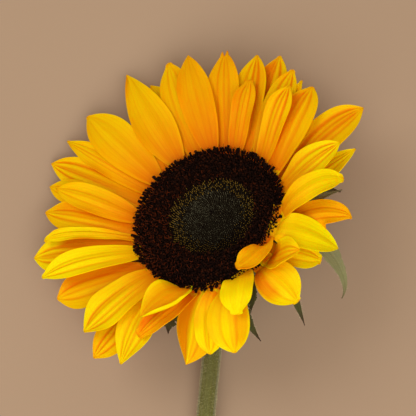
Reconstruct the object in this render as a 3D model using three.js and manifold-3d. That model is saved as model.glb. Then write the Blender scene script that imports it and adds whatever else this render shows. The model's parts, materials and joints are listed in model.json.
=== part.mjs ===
// A cut sunflower bloom lying on its back on level ground, with the length of stem it was cut with.
// Millimetres, +Z up. The face looks up and leans to one side, and the stem runs off along -Y.

import * as THREE from 'three';
import { mergeVertices } from 'three/addons/utils/BufferGeometryUtils.js';
import Module from 'manifold-3d';

const wasm = await Module();
wasm.setup();

const clearance = 0.3; // between pieces that touch

// How the head lies. Clock angles on the head are counted counterclockwise, seen from its face.
const head = {
  lean: 27.5, // degrees between the face's normal and straight up
  towards: 138, // the side that the face leans to, in degrees from +X
  rimHeight: 44, // the middle of the disc's rim above the ground
};

// The disc of small florets: a button of closed buds in a ring of open florets.
// Heights are above the plane of the rim, along the face's normal.
const disc = {
  radius: 35,
  rimHeight: 0.3, // of the widest part of the rim
  shoulderRadius: 33.6, // the rim rounds over through here
  shoulderHeight: 2,
  crownOuter: 30, // the ring is highest between these two radii
  crownInner: 24,
  crown: 3.2,
  budRadius: 20,
  budEdge: 2.7, // where the button meets the ring
  budMiddle: 1.6, // the button dips towards its middle
  grooveRadius: 30.8, // the petals' claws end here, under the rim's lip
  lipRadius: 34.4,
  lipUnderside: -0.7,
  underside: -4.9,
  segments: 32,
};

// Open florets that stick out over the petals' claws all round the rim.
// seatRadius and seatHeight: where each stands. outwards: how far it leans out from the face's normal.
const rimFlorets = {
  count: 48,
  radius: 1,
  length: 3.8,
  sides: 3,
  outwards: 48,
  seatRadius: 33.1,
  seatHeight: 1,
};

// Closed buds that stand out of the button, on a golden-angle spiral.
// sunk: the share of each that lies in the button.
const buds = {
  count: 48,
  radius: 1.6,
  height: 1.6,
  sides: 4,
  sunk: 0.25,
  spacing: 2.7,
  goldenAngle: 137.508,
};

// The fleshy base under the disc.
// profile: shares of its top radius, and how far each lies over the neck's end.
const receptacle = {
  topRadius: 33,
  depth: 24,
  neckRadius: 5.6,
  segments: 24,
  profile: [[0.23, 2.5], [0.5, 5], [0.78, 9], [0.95, 14]],
  edge: 1.5, // height of the straight edge round its top
};

const stem = {
  radius: 4,
  neckLength: 12, // over which it swells to the receptacle's neck
  neckPull: 17, // how far it keeps the head's direction before it bends
  bendEnd: [1.6, -55.5, 9.2], // where the bend has straightened, from the point under the rim's middle
  cutEnd: [-5.6, -128, 4],
  sides: 12,
  steps: 24,
};

// Ray petals. The rows leave the groove at their own heights, and rise or fall from the rim plane by their
// own angles. A petal may state other angles of its own.
const petalRows = {
  front: { height: -1.6, lift: 18, droop: 14 },
  middle: { height: -2.9, lift: 11, droop: 11 },
  back: { height: -4.2, lift: 4, droop: 8 },
};
const petalForm = {
  thickness: 0.7,
  rimRadius: 35.8, // the claw is straight from the groove to here
  clawHalfWidth: 1.9,
  settle: 0.4, // share of the blade over which it turns from the claw's side to its own
  tip: 0.6,
  widestAt: 0.5,
  lengthSteps: 9,
  widthSteps: 4,
  groove: 0.45, // depth of the two long grooves
  cup: 0.12, // rise of the edges, as a share of the half width
  reins: 0.36, // how firmly the two end directions hold the blade's curve
};

// Each petal, counterclockwise from the head's top. at: clock angle where it leaves the rim. to, reach and
// rise: its tip's clock angle, distance from the middle and height over the rim plane. wide: full width.
// lift and droop: degrees up at the rim and down at the tip. sway: degrees it bows counterclockwise.
// fold: how sharply its midline stands up.
// curl: how far its counterclockwise edge rolls up, or its clockwise edge where negative. tip: half width of
// a blunt tip. widestAt: share of its length where it is widest.
const petals = [
  { at: 82, to: 87.5, reach: 86, rise: 2, wide: 15, row: 'middle', widestAt: 0.6, tip: 1.8 },
  { at: 92, to: 100, reach: 88, rise: 3, wide: 17, row: 'front' },
  { at: 102, to: 105.5, reach: 88.5, rise: -1, wide: 15, row: 'back' },
  { at: 110, to: 113, reach: 81.5, rise: 0, wide: 15, row: 'middle' },
  { at: 118, to: 118.5, reach: 93.5, rise: 2, wide: 19, row: 'front', widestAt: 0.42 },
  { at: 128, to: 127, reach: 74, rise: -2, wide: 12, row: 'back' },
  { at: 138, to: 135.5, reach: 88, rise: 3, wide: 19.5, row: 'front', widestAt: 0.55, tip: 1.6 },
  { at: 147, to: 145.5, reach: 89, rise: 0, wide: 13, row: 'middle' },
  { at: 155, to: 153.5, reach: 91, rise: -1, wide: 16, row: 'back', widestAt: 0.6 },
  { at: 164, to: 160, reach: 87, rise: -3, wide: 14, row: 'middle', widestAt: 0.62 },
  { at: 171, to: 161.5, reach: 79, rise: 3, wide: 18, row: 'front' },
  { at: 180, to: 169.5, reach: 83.5, rise: -2, wide: 15, row: 'middle', widestAt: 0.62 },
  { at: 188, to: 181.5, reach: 79.5, rise: 1, wide: 14.5, row: 'middle', widestAt: 0.64, tip: 1.2 },
  { at: 194, to: 184, reach: 87, rise: -5, wide: 18, row: 'back', widestAt: 0.65 },
  { at: 200, to: 195.5, reach: 80, rise: 4, wide: 16, row: 'front', widestAt: 0.56 },
  { at: 213, to: 202, reach: 78, rise: -4, wide: 20, row: 'back', widestAt: 0.6 },
  { at: 224, to: 221, reach: 74, rise: -1, wide: 20, row: 'middle', sway: -9, widestAt: 0.6 },
  { at: 232, to: 226.5, reach: 79, rise: -10, wide: 18, row: 'back', widestAt: 0.62 },
  { at: 236, to: 239, reach: 74.5, rise: -7, wide: 19.5, row: 'middle', sway: -7 },
  { at: 254, to: 242, reach: 53, rise: 9, wide: 14, row: 'front', lift: 58, droop: 10, curl: 0.4 },
  { at: 262, to: 242, reach: 63, rise: 1, wide: 16, row: 'front', tip: 2.6, widestAt: 0.6 },
  { at: 269, to: 259, reach: 63.5, rise: -15, wide: 18, row: 'back', lift: 0, droop: 20, fold: 0.35 },
  { at: 278, to: 269.5, reach: 59.5, rise: -13, wide: 14, row: 'middle', lift: 8, droop: 40, tip: 1.6 },
  { at: 292, to: 281, reach: 62, rise: -11, wide: 19, row: 'middle', sway: -14, lift: 30, droop: 50, tip: 1.6 },
  {
    at: 301, to: 289, reach: 52, rise: 2, wide: 16, row: 'front',
    lift: 55, droop: 60, widestAt: 0.62, tip: 2.8,
  },
  { at: 312, to: 314, reach: 56, rise: -10, wide: 20, row: 'middle', lift: 35, droop: 60, tip: 2 },
  { at: 329, to: 301, reach: 35, rise: 9, wide: 9, row: 'front', lift: 60, droop: -5, sway: 40 },
  { at: 321, to: 332.5, reach: 50.5, rise: 6, wide: 10, row: 'middle', lift: 35, droop: 30 },
  { at: 317, to: 324, reach: 47, rise: -9, wide: 11, row: 'back', lift: 4, droop: 40 },
  { at: 330, to: 337, reach: 53.5, rise: -12, wide: 12, row: 'back', lift: 15, droop: 50, tip: 2 },
  {
    at: 339, to: 344, reach: 57.5, rise: -14, wide: 14, row: 'front',
    lift: 58, droop: 62, sway: 12, widestAt: 0.42,
  },
  { at: 348, to: 356.5, reach: 64.5, rise: -6, wide: 11, row: 'back', lift: 22, droop: 10, sway: 26 },
  {
    at: 354, to: 9.5, reach: 63.5, rise: 3, wide: 12, row: 'front',
    lift: 32, droop: 35, sway: 14, widestAt: 0.65,
  },
  { at: 12, to: 24, reach: 71.5, rise: -5, wide: 13, row: 'back' },
  { at: 20, to: 25, reach: 67, rise: 3, wide: 16, row: 'front' },
  { at: 27, to: 35, reach: 84.5, rise: -3, wide: 18.5, row: 'back', sway: 10, widestAt: 0.62 },
  { at: 35, to: 52.5, reach: 76.5, rise: 1, wide: 15, row: 'front', widestAt: 0.56 },
  { at: 43, to: 58, reach: 77.5, rise: -3, wide: 10, row: 'back' },
  { at: 50, to: 57.5, reach: 70, rise: 7, wide: 12, row: 'front', widestAt: 0.62, tip: 1.4 },
  { at: 53, to: 63, reach: 81, rise: 0, wide: 14, row: 'middle', widestAt: 0.62 },
  { at: 61, to: 71, reach: 89, rise: -4, wide: 16, row: 'back', widestAt: 0.6 },
  { at: 68, to: 77.5, reach: 86, rise: -1, wide: 14, row: 'middle', widestAt: 0.6 },
  { at: 73, to: 75.5, reach: 70.5, rise: 5, wide: 10, row: 'front' },
];

// Green bracts behind the petals, fused to the receptacle. Those that the ground would hold up are pressed
// to it.
const bractForm = {
  rootRadius: 27,
  rootHeight: -11,
  thickness: 0.8,
  wide: 12,
  root: 0.6, // share of its full width at the root
  widestAt: 0.3,
  tip: 0.35,
  lengthSteps: 6,
  widthSteps: 2,
  cup: 0.25,
  lift: -4,
  droop: 62,
  reins: 0.4,
  reach: 56, // how far its tip hangs out, and how far it hangs back
  rise: -36,
};
const groundGap = 0.5; // a pressed bract's middle surface lies this far over the ground
const bracts = [
  { at: 10, to: 14, reach: 58, rise: -14, droop: 12, wide: 9 },
  { at: 26, to: 28 },
  { at: 42, to: 44 },
  { at: 58, to: 60 },
  { at: 74, to: 74 },
  { at: 90, to: 88 },
  { at: 107, to: 107 },
  { at: 124, to: 122 },
  { at: 140, to: 141 },
  { at: 156, to: 158 },
  { at: 173, to: 173 },
  { at: 190, to: 192 },
  { at: 207, to: 209, reach: 52 },
  { at: 224, to: 225, reach: 46 },
  { at: 240, to: 240.5, reach: 50, rise: -22 },
  { at: 257, to: 256, reach: 44, rise: -28 },
  { at: 275, to: 272, reach: 44, rise: -28 },
  { at: 294, to: 289, reach: 49, rise: -32, wide: 8 },
  { at: 309, to: 311, reach: 56, rise: -30, wide: 7.5 },
  { at: 326, to: 322, reach: 42, rise: -27, wide: 9 },
  { at: 356, to: 331, reach: 61, rise: -30, wide: 9, sway: 38, lift: 20, droop: 76 },
];

const finishes = {
  stem: { color: 0x6f7a3a, roughness: 0.7 },
  involucre: { color: 0x4a5a2c, roughness: 0.75 },
  openFlorets: { color: 0x1c0d07, roughness: 0.8 },
  buds: { color: 0x2a2a18, roughness: 0.8 },
  petals: { color: 0xf5b405, roughness: 0.55 },
};

const radians = THREE.MathUtils.degToRad;
const faceNormal = new THREE.Vector3(0, 0, 1);

// A point in the head's own frame
function polar(clock, radius, height) {
  return new THREE.Vector3(radius * Math.cos(radians(clock)), radius * Math.sin(radians(clock)), height);
}

// A closed geometry as a solid that can be cut and joined
function solidOf(geometry) {
  const bare = geometry.clone();
  bare.deleteAttribute('normal');
  bare.deleteAttribute('uv');
  const merged = mergeVertices(bare, 1e-4);
  return new wasm.Manifold(new wasm.Mesh({
    numProp: 3,
    vertProperties: Float32Array.from(merged.attributes.position.array),
    triVerts: Uint32Array.from(merged.index.array),
  }));
}

function geometryOf(solid) {
  const { vertProperties, triVerts } = solid.getMesh();
  const geometry = new THREE.BufferGeometry();
  geometry.setAttribute('position', new THREE.BufferAttribute(vertProperties, 3));
  geometry.setIndex(new THREE.BufferAttribute(triVerts, 1));
  geometry.computeVertexNormals();
  return geometry;
}

// The largest body of a solid that a cut may have split
function largestBody(solid) {
  const bodies = solid.decompose();
  return bodies.reduce((best, body) => (body.volume() > best.volume() ? body : best));
}

// A body of revolution round the face's normal, from radius and height pairs
function turned(profile, segments) {
  const points = profile.map(([radius, height]) => new THREE.Vector2(radius, height));
  return new THREE.LatheGeometry(points, segments).rotateX(Math.PI / 2);
}

// The curve of a blade from its root to its tip, leaving and ending at the stated angles
function bladeCurve(root, tip, { lift, droop, sway = 0, reins }) {
  const chord = tip.clone().sub(root);
  const forward = new THREE.Vector3(chord.x, chord.y, 0).normalize();
  const heading = (turn, pitch) => forward.clone()
    .applyAxisAngle(faceNormal, radians(turn))
    .multiplyScalar(Math.cos(radians(pitch)))
    .addScaledVector(faceNormal, Math.sin(radians(pitch)));
  const pull = chord.length() * reins;
  return new THREE.CubicBezierCurve3(
    root,
    root.clone().addScaledVector(heading(sway, lift), pull),
    tip.clone().addScaledVector(heading(-sway, -droop), -pull),
    tip,
  );
}

// A flat box carried onto a blade's curve. rules give the middle, the direction, the half width and the
// height across at each place, and grow thickens the blade all round to cut its neighbours clear of it.
function bladeGeometry({ lengthSteps, widthSteps, thickness }, rules, grow) {
  const box = new THREE.BoxGeometry(1, 1, 1, lengthSteps, widthSteps, 1);
  const place = box.attributes.position;
  for (let i = 0; i < place.count; i += 1) {
    const along = place.getX(i) + 0.5;
    const across = 2 * place.getY(i);
    const through = 2 * place.getZ(i) * (thickness / 2 + grow);
    const { middle, forward, side } = rules.frame(along);
    const halfWidth = rules.halfWidth(along);
    const up = forward.clone().cross(side);
    const point = middle.clone()
      .addScaledVector(side, across * (halfWidth + grow))
      .addScaledVector(up, rules.height(along, across, halfWidth) + through);
    if (along > 1 - 1e-6) point.addScaledVector(forward, grow);
    place.setXYZ(i, point.x, point.y, point.z);
  }
  return box;
}

// The frame of a blade's curve at a share of its length. A blade that grows from a claw turns from the claw's
// side to its own over its first stretch, so that one which bends away sharply doesn't fold through itself.
function curveFrame(curve, share, claw = { settle: 0 }) {
  const middle = curve.getPoint(share);
  const forward = curve.getTangent(share);
  const chord = curve.v3.clone().sub(curve.v0).setZ(0);
  const side = faceNormal.clone().cross(chord).normalize();
  if (share < claw.settle) side.lerp(claw.side, 1 - share / claw.settle);
  side.addScaledVector(forward, -side.dot(forward)).normalize();
  return { middle, forward, side };
}

// The share of a blade's full width at a share of its length: it swells from the claw and closes to a point
function bladeSwell(share, widestAt, claw) {
  const opening = Math.sin(Math.min(1, share / widestAt) * Math.PI / 2);
  const closing = 1 - Math.max(0, (share - widestAt) / (1 - widestAt)) ** 2;
  return (claw + (1 - claw) * opening) * closing;
}

// A petal's whole form, and the curve of its blade from the rim to its tip
function petalPlan(petal) {
  const form = { ...petalForm, ...petalRows[petal.row], fold: 0, curl: 0, ...petal };
  const root = polar(form.at, form.rimRadius, form.height);
  const curve = bladeCurve(root, polar(form.to, form.reach, form.rise), form);
  return { form, root, curve };
}

function petalGeometry({ form, root, curve }, grow = 0) {
  const groove = polar(form.at, disc.grooveRadius + clearance, form.height);
  const clawShare = 1 / form.lengthSteps;
  const bladeShare = (along) => Math.max(0, (along - clawShare) / (1 - clawShare));
  const clawForward = root.clone().sub(groove).normalize();
  const claw = { side: faceNormal.clone().cross(clawForward), settle: form.settle };
  const clawWidth = 2 * form.clawHalfWidth / form.wide;
  return bladeGeometry(form, {
    frame(along) {
      if (along > clawShare - 1e-6) return curveFrame(curve, bladeShare(along), claw);
      return { middle: groove, forward: clawForward, side: claw.side };
    },
    halfWidth(along) {
      const swell = bladeSwell(bladeShare(along), form.widestAt, clawWidth);
      return Math.max(form.tip, form.wide / 2 * swell);
    },
    height(along, across, halfWidth) {
      const share = bladeShare(along);
      const grooves = form.groove * Math.abs(Math.sin(Math.PI * across)) * Math.sin(Math.PI * share);
      const rolled = Math.abs(form.curl) * Math.max(0, Math.sign(form.curl) * across) ** 2;
      const shape = form.cup * across ** 2 - form.fold * Math.abs(across) + rolled;
      return share * halfWidth * shape - grooves;
    },
  }, grow);
}

// The lowest that a point of the head may lie so that it is still over the ground
function groundHeight(clock, radius) {
  const fall = radius * Math.sin(radians(head.lean)) * Math.cos(radians(clock - head.towards));
  return (groundGap - head.rimHeight + fall) / Math.cos(radians(head.lean));
}

function bractGeometry(bract) {
  const form = { ...bractForm, ...bract };
  const root = polar(form.at, form.rootRadius, form.rootHeight);
  const rise = Math.max(form.rise, groundHeight(form.to, form.reach));
  const curve = bladeCurve(root, polar(form.to, form.reach, rise), form);
  return bladeGeometry(form, {
    frame: (along) => curveFrame(curve, along),
    halfWidth: (along) => Math.max(form.tip, form.wide / 2 * bladeSwell(along, form.widestAt, form.root)),
    height: (along, across, halfWidth) => form.cup * halfWidth * Math.abs(across),
  }, 0);
}

function openFloretRing() {
  const ring = solidOf(turned([
    [disc.budRadius, disc.underside],
    [disc.grooveRadius, disc.underside],
    [disc.grooveRadius, disc.lipUnderside],
    [disc.lipRadius, disc.lipUnderside],
    [disc.radius, disc.rimHeight],
    [disc.shoulderRadius, disc.shoulderHeight],
    [disc.crownOuter, disc.crown],
    [disc.crownInner, disc.crown],
    [disc.budRadius, disc.budEdge],
    [disc.budRadius, disc.underside],
  ], disc.segments));
  const { count, radius, length, sides, outwards, seatRadius, seatHeight } = rimFlorets;
  let solid = ring;
  for (let i = 0; i < count; i += 1) {
    const floret = new THREE.ConeGeometry(radius, length, sides)
      .translate(0, length / 2, 0)
      .rotateZ(-radians(outwards))
      .rotateX(Math.PI / 2)
      .translate(seatRadius, 0, seatHeight)
      .rotateZ(2 * Math.PI * i / count);
    solid = solid.add(solidOf(floret));
  }
  return geometryOf(solid);
}

function budButton() {
  const edge = disc.budRadius - clearance;
  const top = (radius) => disc.budMiddle + (disc.budEdge - disc.budMiddle) * (radius / edge) ** 2;
  let solid = solidOf(turned([
    [0, disc.underside],
    [edge, disc.underside],
    [edge, top(edge)],
    [0.7 * edge, top(0.7 * edge)],
    [0.4 * edge, top(0.4 * edge)],
    [0, top(0)],
  ], disc.segments));
  for (let i = 0; i < buds.count; i += 1) {
    const out = buds.spacing * Math.sqrt(i + 0.5);
    const bud = new THREE.ConeGeometry(buds.radius, buds.height, buds.sides)
      .rotateX(Math.PI / 2)
      .translate(out, 0, top(out) + buds.height * (0.5 - buds.sunk))
      .rotateZ(radians(buds.goldenAngle * i));
    solid = solid.add(solidOf(bud));
  }
  return geometryOf(solid);
}

function involucre(cutters) {
  const top = disc.underside - clearance;
  const { topRadius, depth, neckRadius, segments, profile, edge } = receptacle;
  let solid = solidOf(turned([
    [0, -depth],
    [neckRadius, -depth],
    ...profile.map(([share, height]) => [share * topRadius, height - depth]),
    [topRadius, top - edge],
    [topRadius, top],
    [0, top],
  ], segments));
  for (const bract of bracts) solid = solid.add(solidOf(bractGeometry(bract)));
  for (const cutter of cutters) solid = solid.subtract(cutter);
  return geometryOf(largestBody(solid));
}

// The stem: a round bar carried onto its curve, swelling to the neck, with a flat cut end
function stemGeometry(curve) {
  const bar = new THREE.CylinderGeometry(1, 1, 1, stem.sides, stem.steps);
  const frames = curve.computeFrenetFrames(stem.steps);
  const length = curve.getLength();
  const place = bar.attributes.position;
  for (let i = 0; i < place.count; i += 1) {
    const share = 0.5 - place.getY(i);
    const step = Math.round(share * stem.steps);
    const toNeck = Math.max(0, 1 - share * length / stem.neckLength);
    const radius = THREE.MathUtils.lerp(stem.radius, receptacle.neckRadius, toNeck ** 2);
    const point = curve.getPointAt(step / stem.steps)
      .addScaledVector(frames.normals[step], radius * place.getX(i))
      .addScaledVector(frames.binormals[step], radius * place.getZ(i));
    place.setXYZ(i, point.x, point.y, point.z);
  }
  return bar;
}

function mesh(name, geometry, finish) {
  const material = new THREE.MeshStandardMaterial({ ...finish, metalness: 0 });
  const result = new THREE.Mesh(geometry, material);
  result.name = name;
  return result;
}

// The head, built in its own frame and then leaned over
const bloom = new THREE.Group();
bloom.position.set(0, 0, head.rimHeight);
const leanAxis = new THREE.Vector3(-Math.sin(radians(head.towards)), Math.cos(radians(head.towards)), 0);
bloom.quaternion.setFromAxisAngle(leanAxis, radians(head.lean));

const ring = openFloretRing();
bloom.add(mesh('disc_ring', ring, finishes.openFlorets));
bloom.add(mesh('disc_centre', budButton(), finishes.buds));

// Each petal is cut clear of those that stand higher over it
const plans = petals.map((petal, index) => ({ number: index + 1, ...petalPlan(petal) }));
plans.sort((a, b) => b.curve.getPoint(0.5).z - a.curve.getPoint(0.5).z);
const ringSolid = solidOf(ring);
const petalCutters = [];
for (const plan of plans) {
  let solid = solidOf(petalGeometry(plan)).subtract(ringSolid);
  for (const cutter of petalCutters) solid = solid.subtract(cutter);
  const name = `petal_${String(plan.number).padStart(2, '0')}`;
  bloom.add(mesh(name, geometryOf(largestBody(solid)), finishes.petals));
  petalCutters.push(solidOf(petalGeometry(plan, clearance)));
}
bloom.add(mesh('involucre', involucre(petalCutters), finishes.involucre));

// The stem, from just behind the neck to its cut end on the ground
const downStem = faceNormal.clone().negate().applyQuaternion(bloom.quaternion);
const neck = bloom.position.clone().addScaledVector(downStem, receptacle.depth + clearance);
const bendEnd = new THREE.Vector3(...stem.bendEnd);
const cutEnd = new THREE.Vector3(...stem.cutEnd);
const run = cutEnd.clone().sub(bendEnd);
const stemCurve = new THREE.CurvePath();
stemCurve.add(new THREE.CubicBezierCurve3(
  neck,
  neck.clone().addScaledVector(downStem, stem.neckPull),
  bendEnd.clone().addScaledVector(run, -stem.neckPull / run.length()),
  bendEnd,
));
stemCurve.add(new THREE.LineCurve3(bendEnd, cutEnd));

const flower = new THREE.Group();
flower.name = 'cut_sunflower';
flower.add(bloom);
flower.add(mesh('stem', stemGeometry(stemCurve), finishes.stem));

// The origin is under the middle of the whole, on the ground
flower.updateMatrixWorld(true);
const bounds = new THREE.Box3().setFromObject(flower, true);
const middle = bounds.getCenter(new THREE.Vector3());
flower.position.set(-middle.x, -middle.y, -bounds.min.z);

export default flower;
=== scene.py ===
import json
import math
import random

import bpy
import numpy as np
from mathutils import Matrix, Vector
from mathutils.bvhtree import BVHTree


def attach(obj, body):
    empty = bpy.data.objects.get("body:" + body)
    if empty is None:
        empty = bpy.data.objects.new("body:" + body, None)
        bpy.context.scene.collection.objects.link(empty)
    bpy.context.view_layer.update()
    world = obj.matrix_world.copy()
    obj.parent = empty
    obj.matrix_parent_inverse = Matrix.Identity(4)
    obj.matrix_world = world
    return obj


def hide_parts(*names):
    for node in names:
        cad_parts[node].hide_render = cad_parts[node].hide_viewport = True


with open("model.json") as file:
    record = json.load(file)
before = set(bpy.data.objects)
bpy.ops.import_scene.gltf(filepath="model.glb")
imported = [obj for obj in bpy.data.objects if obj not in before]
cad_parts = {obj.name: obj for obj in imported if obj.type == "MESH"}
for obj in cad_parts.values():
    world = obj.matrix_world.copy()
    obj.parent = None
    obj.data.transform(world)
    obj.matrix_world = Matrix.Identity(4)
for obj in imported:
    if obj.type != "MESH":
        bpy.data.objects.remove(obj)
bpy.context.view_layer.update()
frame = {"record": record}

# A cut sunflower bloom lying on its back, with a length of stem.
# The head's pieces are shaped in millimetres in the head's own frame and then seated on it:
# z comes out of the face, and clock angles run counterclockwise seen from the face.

mm = 0.001
mergeWithin = 1e-5       # doubles closer than this are one point, before a piece is seated
poleRadius = 0.02        # a turned body's poles are left open this far, hidden inside the head

head = {
    "lean": 27.5,        # degrees between the face's normal and straight up
    "towards": 138,      # the side that the face leans to, from +X
    "rimHeight": 44,
}
stemForm = {
    "radius": 4.0,
    "neckRadius": 5.6,
    "neckLength": 12,
    "neckPull": 17,
    "neckDepth": 24.3,   # behind the middle of the disc's rim
    "bendEnd": (1.6, -55.5, 9.2),
    "cutEnd": (-5.6, -128, 4),
    "ridges": 10,
    "ridgeDepth": 0.14,
    "steps": 200,
    "sides": 60,
    "bumps": 0.06,
    "hairs": 22000,
    "hairLength": 0.9,
    "hairRadius": 0.036,
    "hairSpread": 0.28,
    "hairSunk": 0.03,
    "pithRadius": 3.35,
    "pithRings": ((0.6, 0), (1.2, -0.12)),   # how far in, and how deep
    "pithProud": 0.05,       # how far the pith stands off the cut face
    "pithThickness": 0.2,
}

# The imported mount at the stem's cut end says where the flower lies
cutPoint = Vector(frame["record"]["mounts"][0]["pos_m"])
groundPoint = cutPoint - Vector(stemForm["cutEnd"]) * mm
headCentre = groundPoint + Vector((0, 0, head["rimHeight"] * mm))
towards = math.radians(head["towards"])
leanAxis = Vector((-math.sin(towards), math.cos(towards), 0))
headTurn = Matrix.Rotation(math.radians(head["lean"]), 4, leanAxis)
headPlace = Matrix.Translation(headCentre) @ headTurn @ Matrix.Scale(mm, 4)
groundPlace = Matrix.Translation(groundPoint) @ Matrix.Scale(mm, 4)


# Small helpers

def deselectAll():
    if bpy.context.object and bpy.context.object.mode != "OBJECT":
        bpy.ops.object.mode_set(mode="OBJECT")
    bpy.ops.object.select_all(action="DESELECT")


def pick(piece):
    deselectAll()
    piece.select_set(True)
    bpy.context.view_layer.objects.active = piece


def applyModifier(piece, kind, **settings):
    pick(piece)
    modifier = piece.modifiers.new(kind, kind)
    for name, value in settings.items():
        setattr(modifier, name, value)
    bpy.ops.object.modifier_apply(modifier=modifier.name)


def readPoints(mesh):
    points = np.zeros(len(mesh.vertices) * 3)
    mesh.vertices.foreach_get("co", points)
    return points.reshape(-1, 3)


def writePoints(mesh, points):
    mesh.vertices.foreach_set("co", np.asarray(points, dtype=float).ravel())
    mesh.update()


def copyOf(blank, name):
    piece = blank.copy()
    piece.data = blank.data.copy()
    piece.name = name
    piece.data.name = name
    bpy.context.collection.objects.link(piece)
    return piece


def drop(piece):
    bpy.data.objects.remove(piece, do_unlink=True)


def editAll(piece):
    # Edit mode, with all of the piece selected
    pick(piece)
    bpy.ops.object.mode_set(mode="EDIT")
    bpy.ops.mesh.select_all(action="SELECT")


def leaveEdit():
    bpy.ops.object.mode_set(mode="OBJECT")


def faceOutwards(piece):
    editAll(piece)
    bpy.ops.mesh.remove_doubles(threshold=mergeWithin)
    bpy.ops.mesh.normals_make_consistent(inside=False)
    leaveEdit()


def gridBlank(name, alongSteps, acrossSteps):
    # A flat grid, and the row and column that each of its points stands in
    deselectAll()
    bpy.ops.mesh.primitive_grid_add(x_subdivisions=alongSteps, y_subdivisions=acrossSteps, size=2)
    blank = bpy.context.object
    blank.name = name
    blank.data.name = name
    flat = readPoints(blank.data)
    rows = np.rint((flat[:, 0] + 1) / 2 * alongSteps).astype(int)
    columns = np.rint((flat[:, 1] + 1) / 2 * acrossSteps).astype(int)
    return blank, rows, columns


def turnedBody(name, sides, cuts, outline):
    # A cylinder's wall laid along an outline of radii and heights, from the lower pole to the upper one
    deselectAll()
    bpy.ops.mesh.primitive_cylinder_add(vertices=sides, radius=1, depth=2, end_fill_type="NOTHING")
    body = bpy.context.object
    body.name = name
    editAll(body)
    bpy.ops.mesh.subdivide(number_cuts=cuts)
    leaveEdit()
    points = readPoints(body.data)
    radii, heights = zip(*outline)
    radii = np.maximum(radii, poleRadius)
    levels = np.linspace(-1, 1, len(outline))
    turns = np.arctan2(points[:, 1], points[:, 0])
    radius = np.interp(points[:, 2], levels, radii)
    height = np.interp(points[:, 2], levels, heights)
    writePoints(body.data, np.stack([radius * np.cos(turns), radius * np.sin(turns), height], 1))
    faceOutwards(body)
    return body


def joinPieces(pieces, name):
    deselectAll()
    for piece in pieces:
        piece.select_set(True)
    bpy.context.view_layer.objects.active = pieces[0]
    if len(pieces) > 1:
        bpy.ops.object.join()
    joined = bpy.context.view_layer.objects.active
    joined.name = name
    joined.data.name = name
    return joined


def scatter(blank, name, places):
    # One joined mesh of copies of the blank, each carried by its own 4x4 place
    points = readPoints(blank.data)
    corners = [tuple(face.vertices) for face in blank.data.polygons]
    placed = [points @ np.array(place)[:3, :3].T + np.array(place)[:3, 3] for place in places]
    count = len(points)
    faces = [tuple(k + count * i for k in face) for i in range(len(places)) for face in corners]
    mesh = bpy.data.meshes.new(name)
    mesh.from_pydata(np.concatenate(placed).tolist(), [], faces)
    mesh.update()
    piece = bpy.data.objects.new(name, mesh)
    bpy.context.collection.objects.link(piece)
    return piece


def finishPiece(piece, place, material, nodes=(), smoothBelow=50):
    piece.data.transform(place)
    piece.data.materials.clear()
    piece.data.materials.append(material)
    pick(piece)
    bpy.ops.object.shade_smooth_by_angle(angle=math.radians(smoothBelow))
    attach(piece, "root")
    if nodes:
        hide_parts(*nodes)
    return piece


def polar(clock, radius, height):
    turn = math.radians(clock)
    return Vector((radius * math.cos(turn), radius * math.sin(turn), height))


def ramp(value, start, end):
    # 0 up to the start, 1 from the end on
    return min(1.0, max(0.0, (value - start) / (end - start)))


def onSide(clock, side):
    # 1 at the given side's own clock angle, 0 from a quarter turn away
    return max(0, math.cos(math.radians(clock - side)))


# Shader groups that several finishes share

def newGroup(name, inputs, outputs):
    group = bpy.data.node_groups.new(name, "ShaderNodeTree")
    for label, kind, default in inputs:
        socket = group.interface.new_socket(name=label, in_out="INPUT", socket_type=kind)
        if default is not None:
            socket.default_value = default
    for label, kind in outputs:
        group.interface.new_socket(name=label, in_out="OUTPUT", socket_type=kind)
    start = group.nodes.new("NodeGroupInput")
    end = group.nodes.new("NodeGroupOutput")
    return group, start, end


def mathNode(tree, operation, first, second=None):
    node = tree.nodes.new("ShaderNodeMath")
    node.operation = operation
    for socket, value in zip(node.inputs, (first, second)):
        if value is None:
            continue
        if isinstance(value, (int, float)):
            socket.default_value = value
        else:
            tree.links.new(value, socket)
    return node.outputs[0]


def times(tree, first, second):
    return mathNode(tree, "MULTIPLY", first, second)


def plus(tree, first, second):
    return mathNode(tree, "ADD", first, second)


def rampNode(tree, factor, stops):
    node = tree.nodes.new("ShaderNodeValToRGB")
    elements = node.color_ramp.elements
    while len(elements) < len(stops):
        elements.new(0.5)
    for element, (place, colour) in zip(elements, stops):
        element.position = place
        element.color = (*colour, 1)
    tree.links.new(factor, node.inputs[0])
    return node.outputs[0]


def mixNode(tree, factor, first, second, blend="MIX"):
    node = tree.nodes.new("ShaderNodeMix")
    node.data_type = "RGBA"
    node.blend_type = blend
    for socket, value in zip((node.inputs[0], node.inputs[6], node.inputs[7]), (factor, first, second)):
        if isinstance(value, (int, float)):
            socket.default_value = value
        elif isinstance(value, tuple):
            socket.default_value = (*value, 1)
        else:
            tree.links.new(value, socket)
    return node.outputs[2]


def makeGrainGroup():
    # Fine cell-like mottling on Object coordinates, as a mask round 0.5
    group, start, end = newGroup(
        "plantGrain",
        [("Scale", "NodeSocketFloat", 900.0), ("Coarse Scale", "NodeSocketFloat", 120.0)],
        [("Fine", "NodeSocketFloat"), ("Coarse", "NodeSocketFloat")],
    )
    place = group.nodes.new("ShaderNodeTexCoord")
    for label, output, detail in (("Scale", "Fine", 3), ("Coarse Scale", "Coarse", 2)):
        noise = group.nodes.new("ShaderNodeTexNoise")
        noise.inputs["Detail"].default_value = detail
        group.links.new(place.outputs["Object"], noise.inputs["Vector"])
        group.links.new(start.outputs[label], noise.inputs["Scale"])
        group.links.new(noise.outputs["Fac"], end.inputs[output])
    return group


veinForm = {
    "driftScale": 4,
    "sharpness": 5,
    "streakAlong": 1.6,      # streaks are this many spots long
    "streakAcross": 38,      # and this many side by side
    "streakDetail": 3,
}


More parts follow.
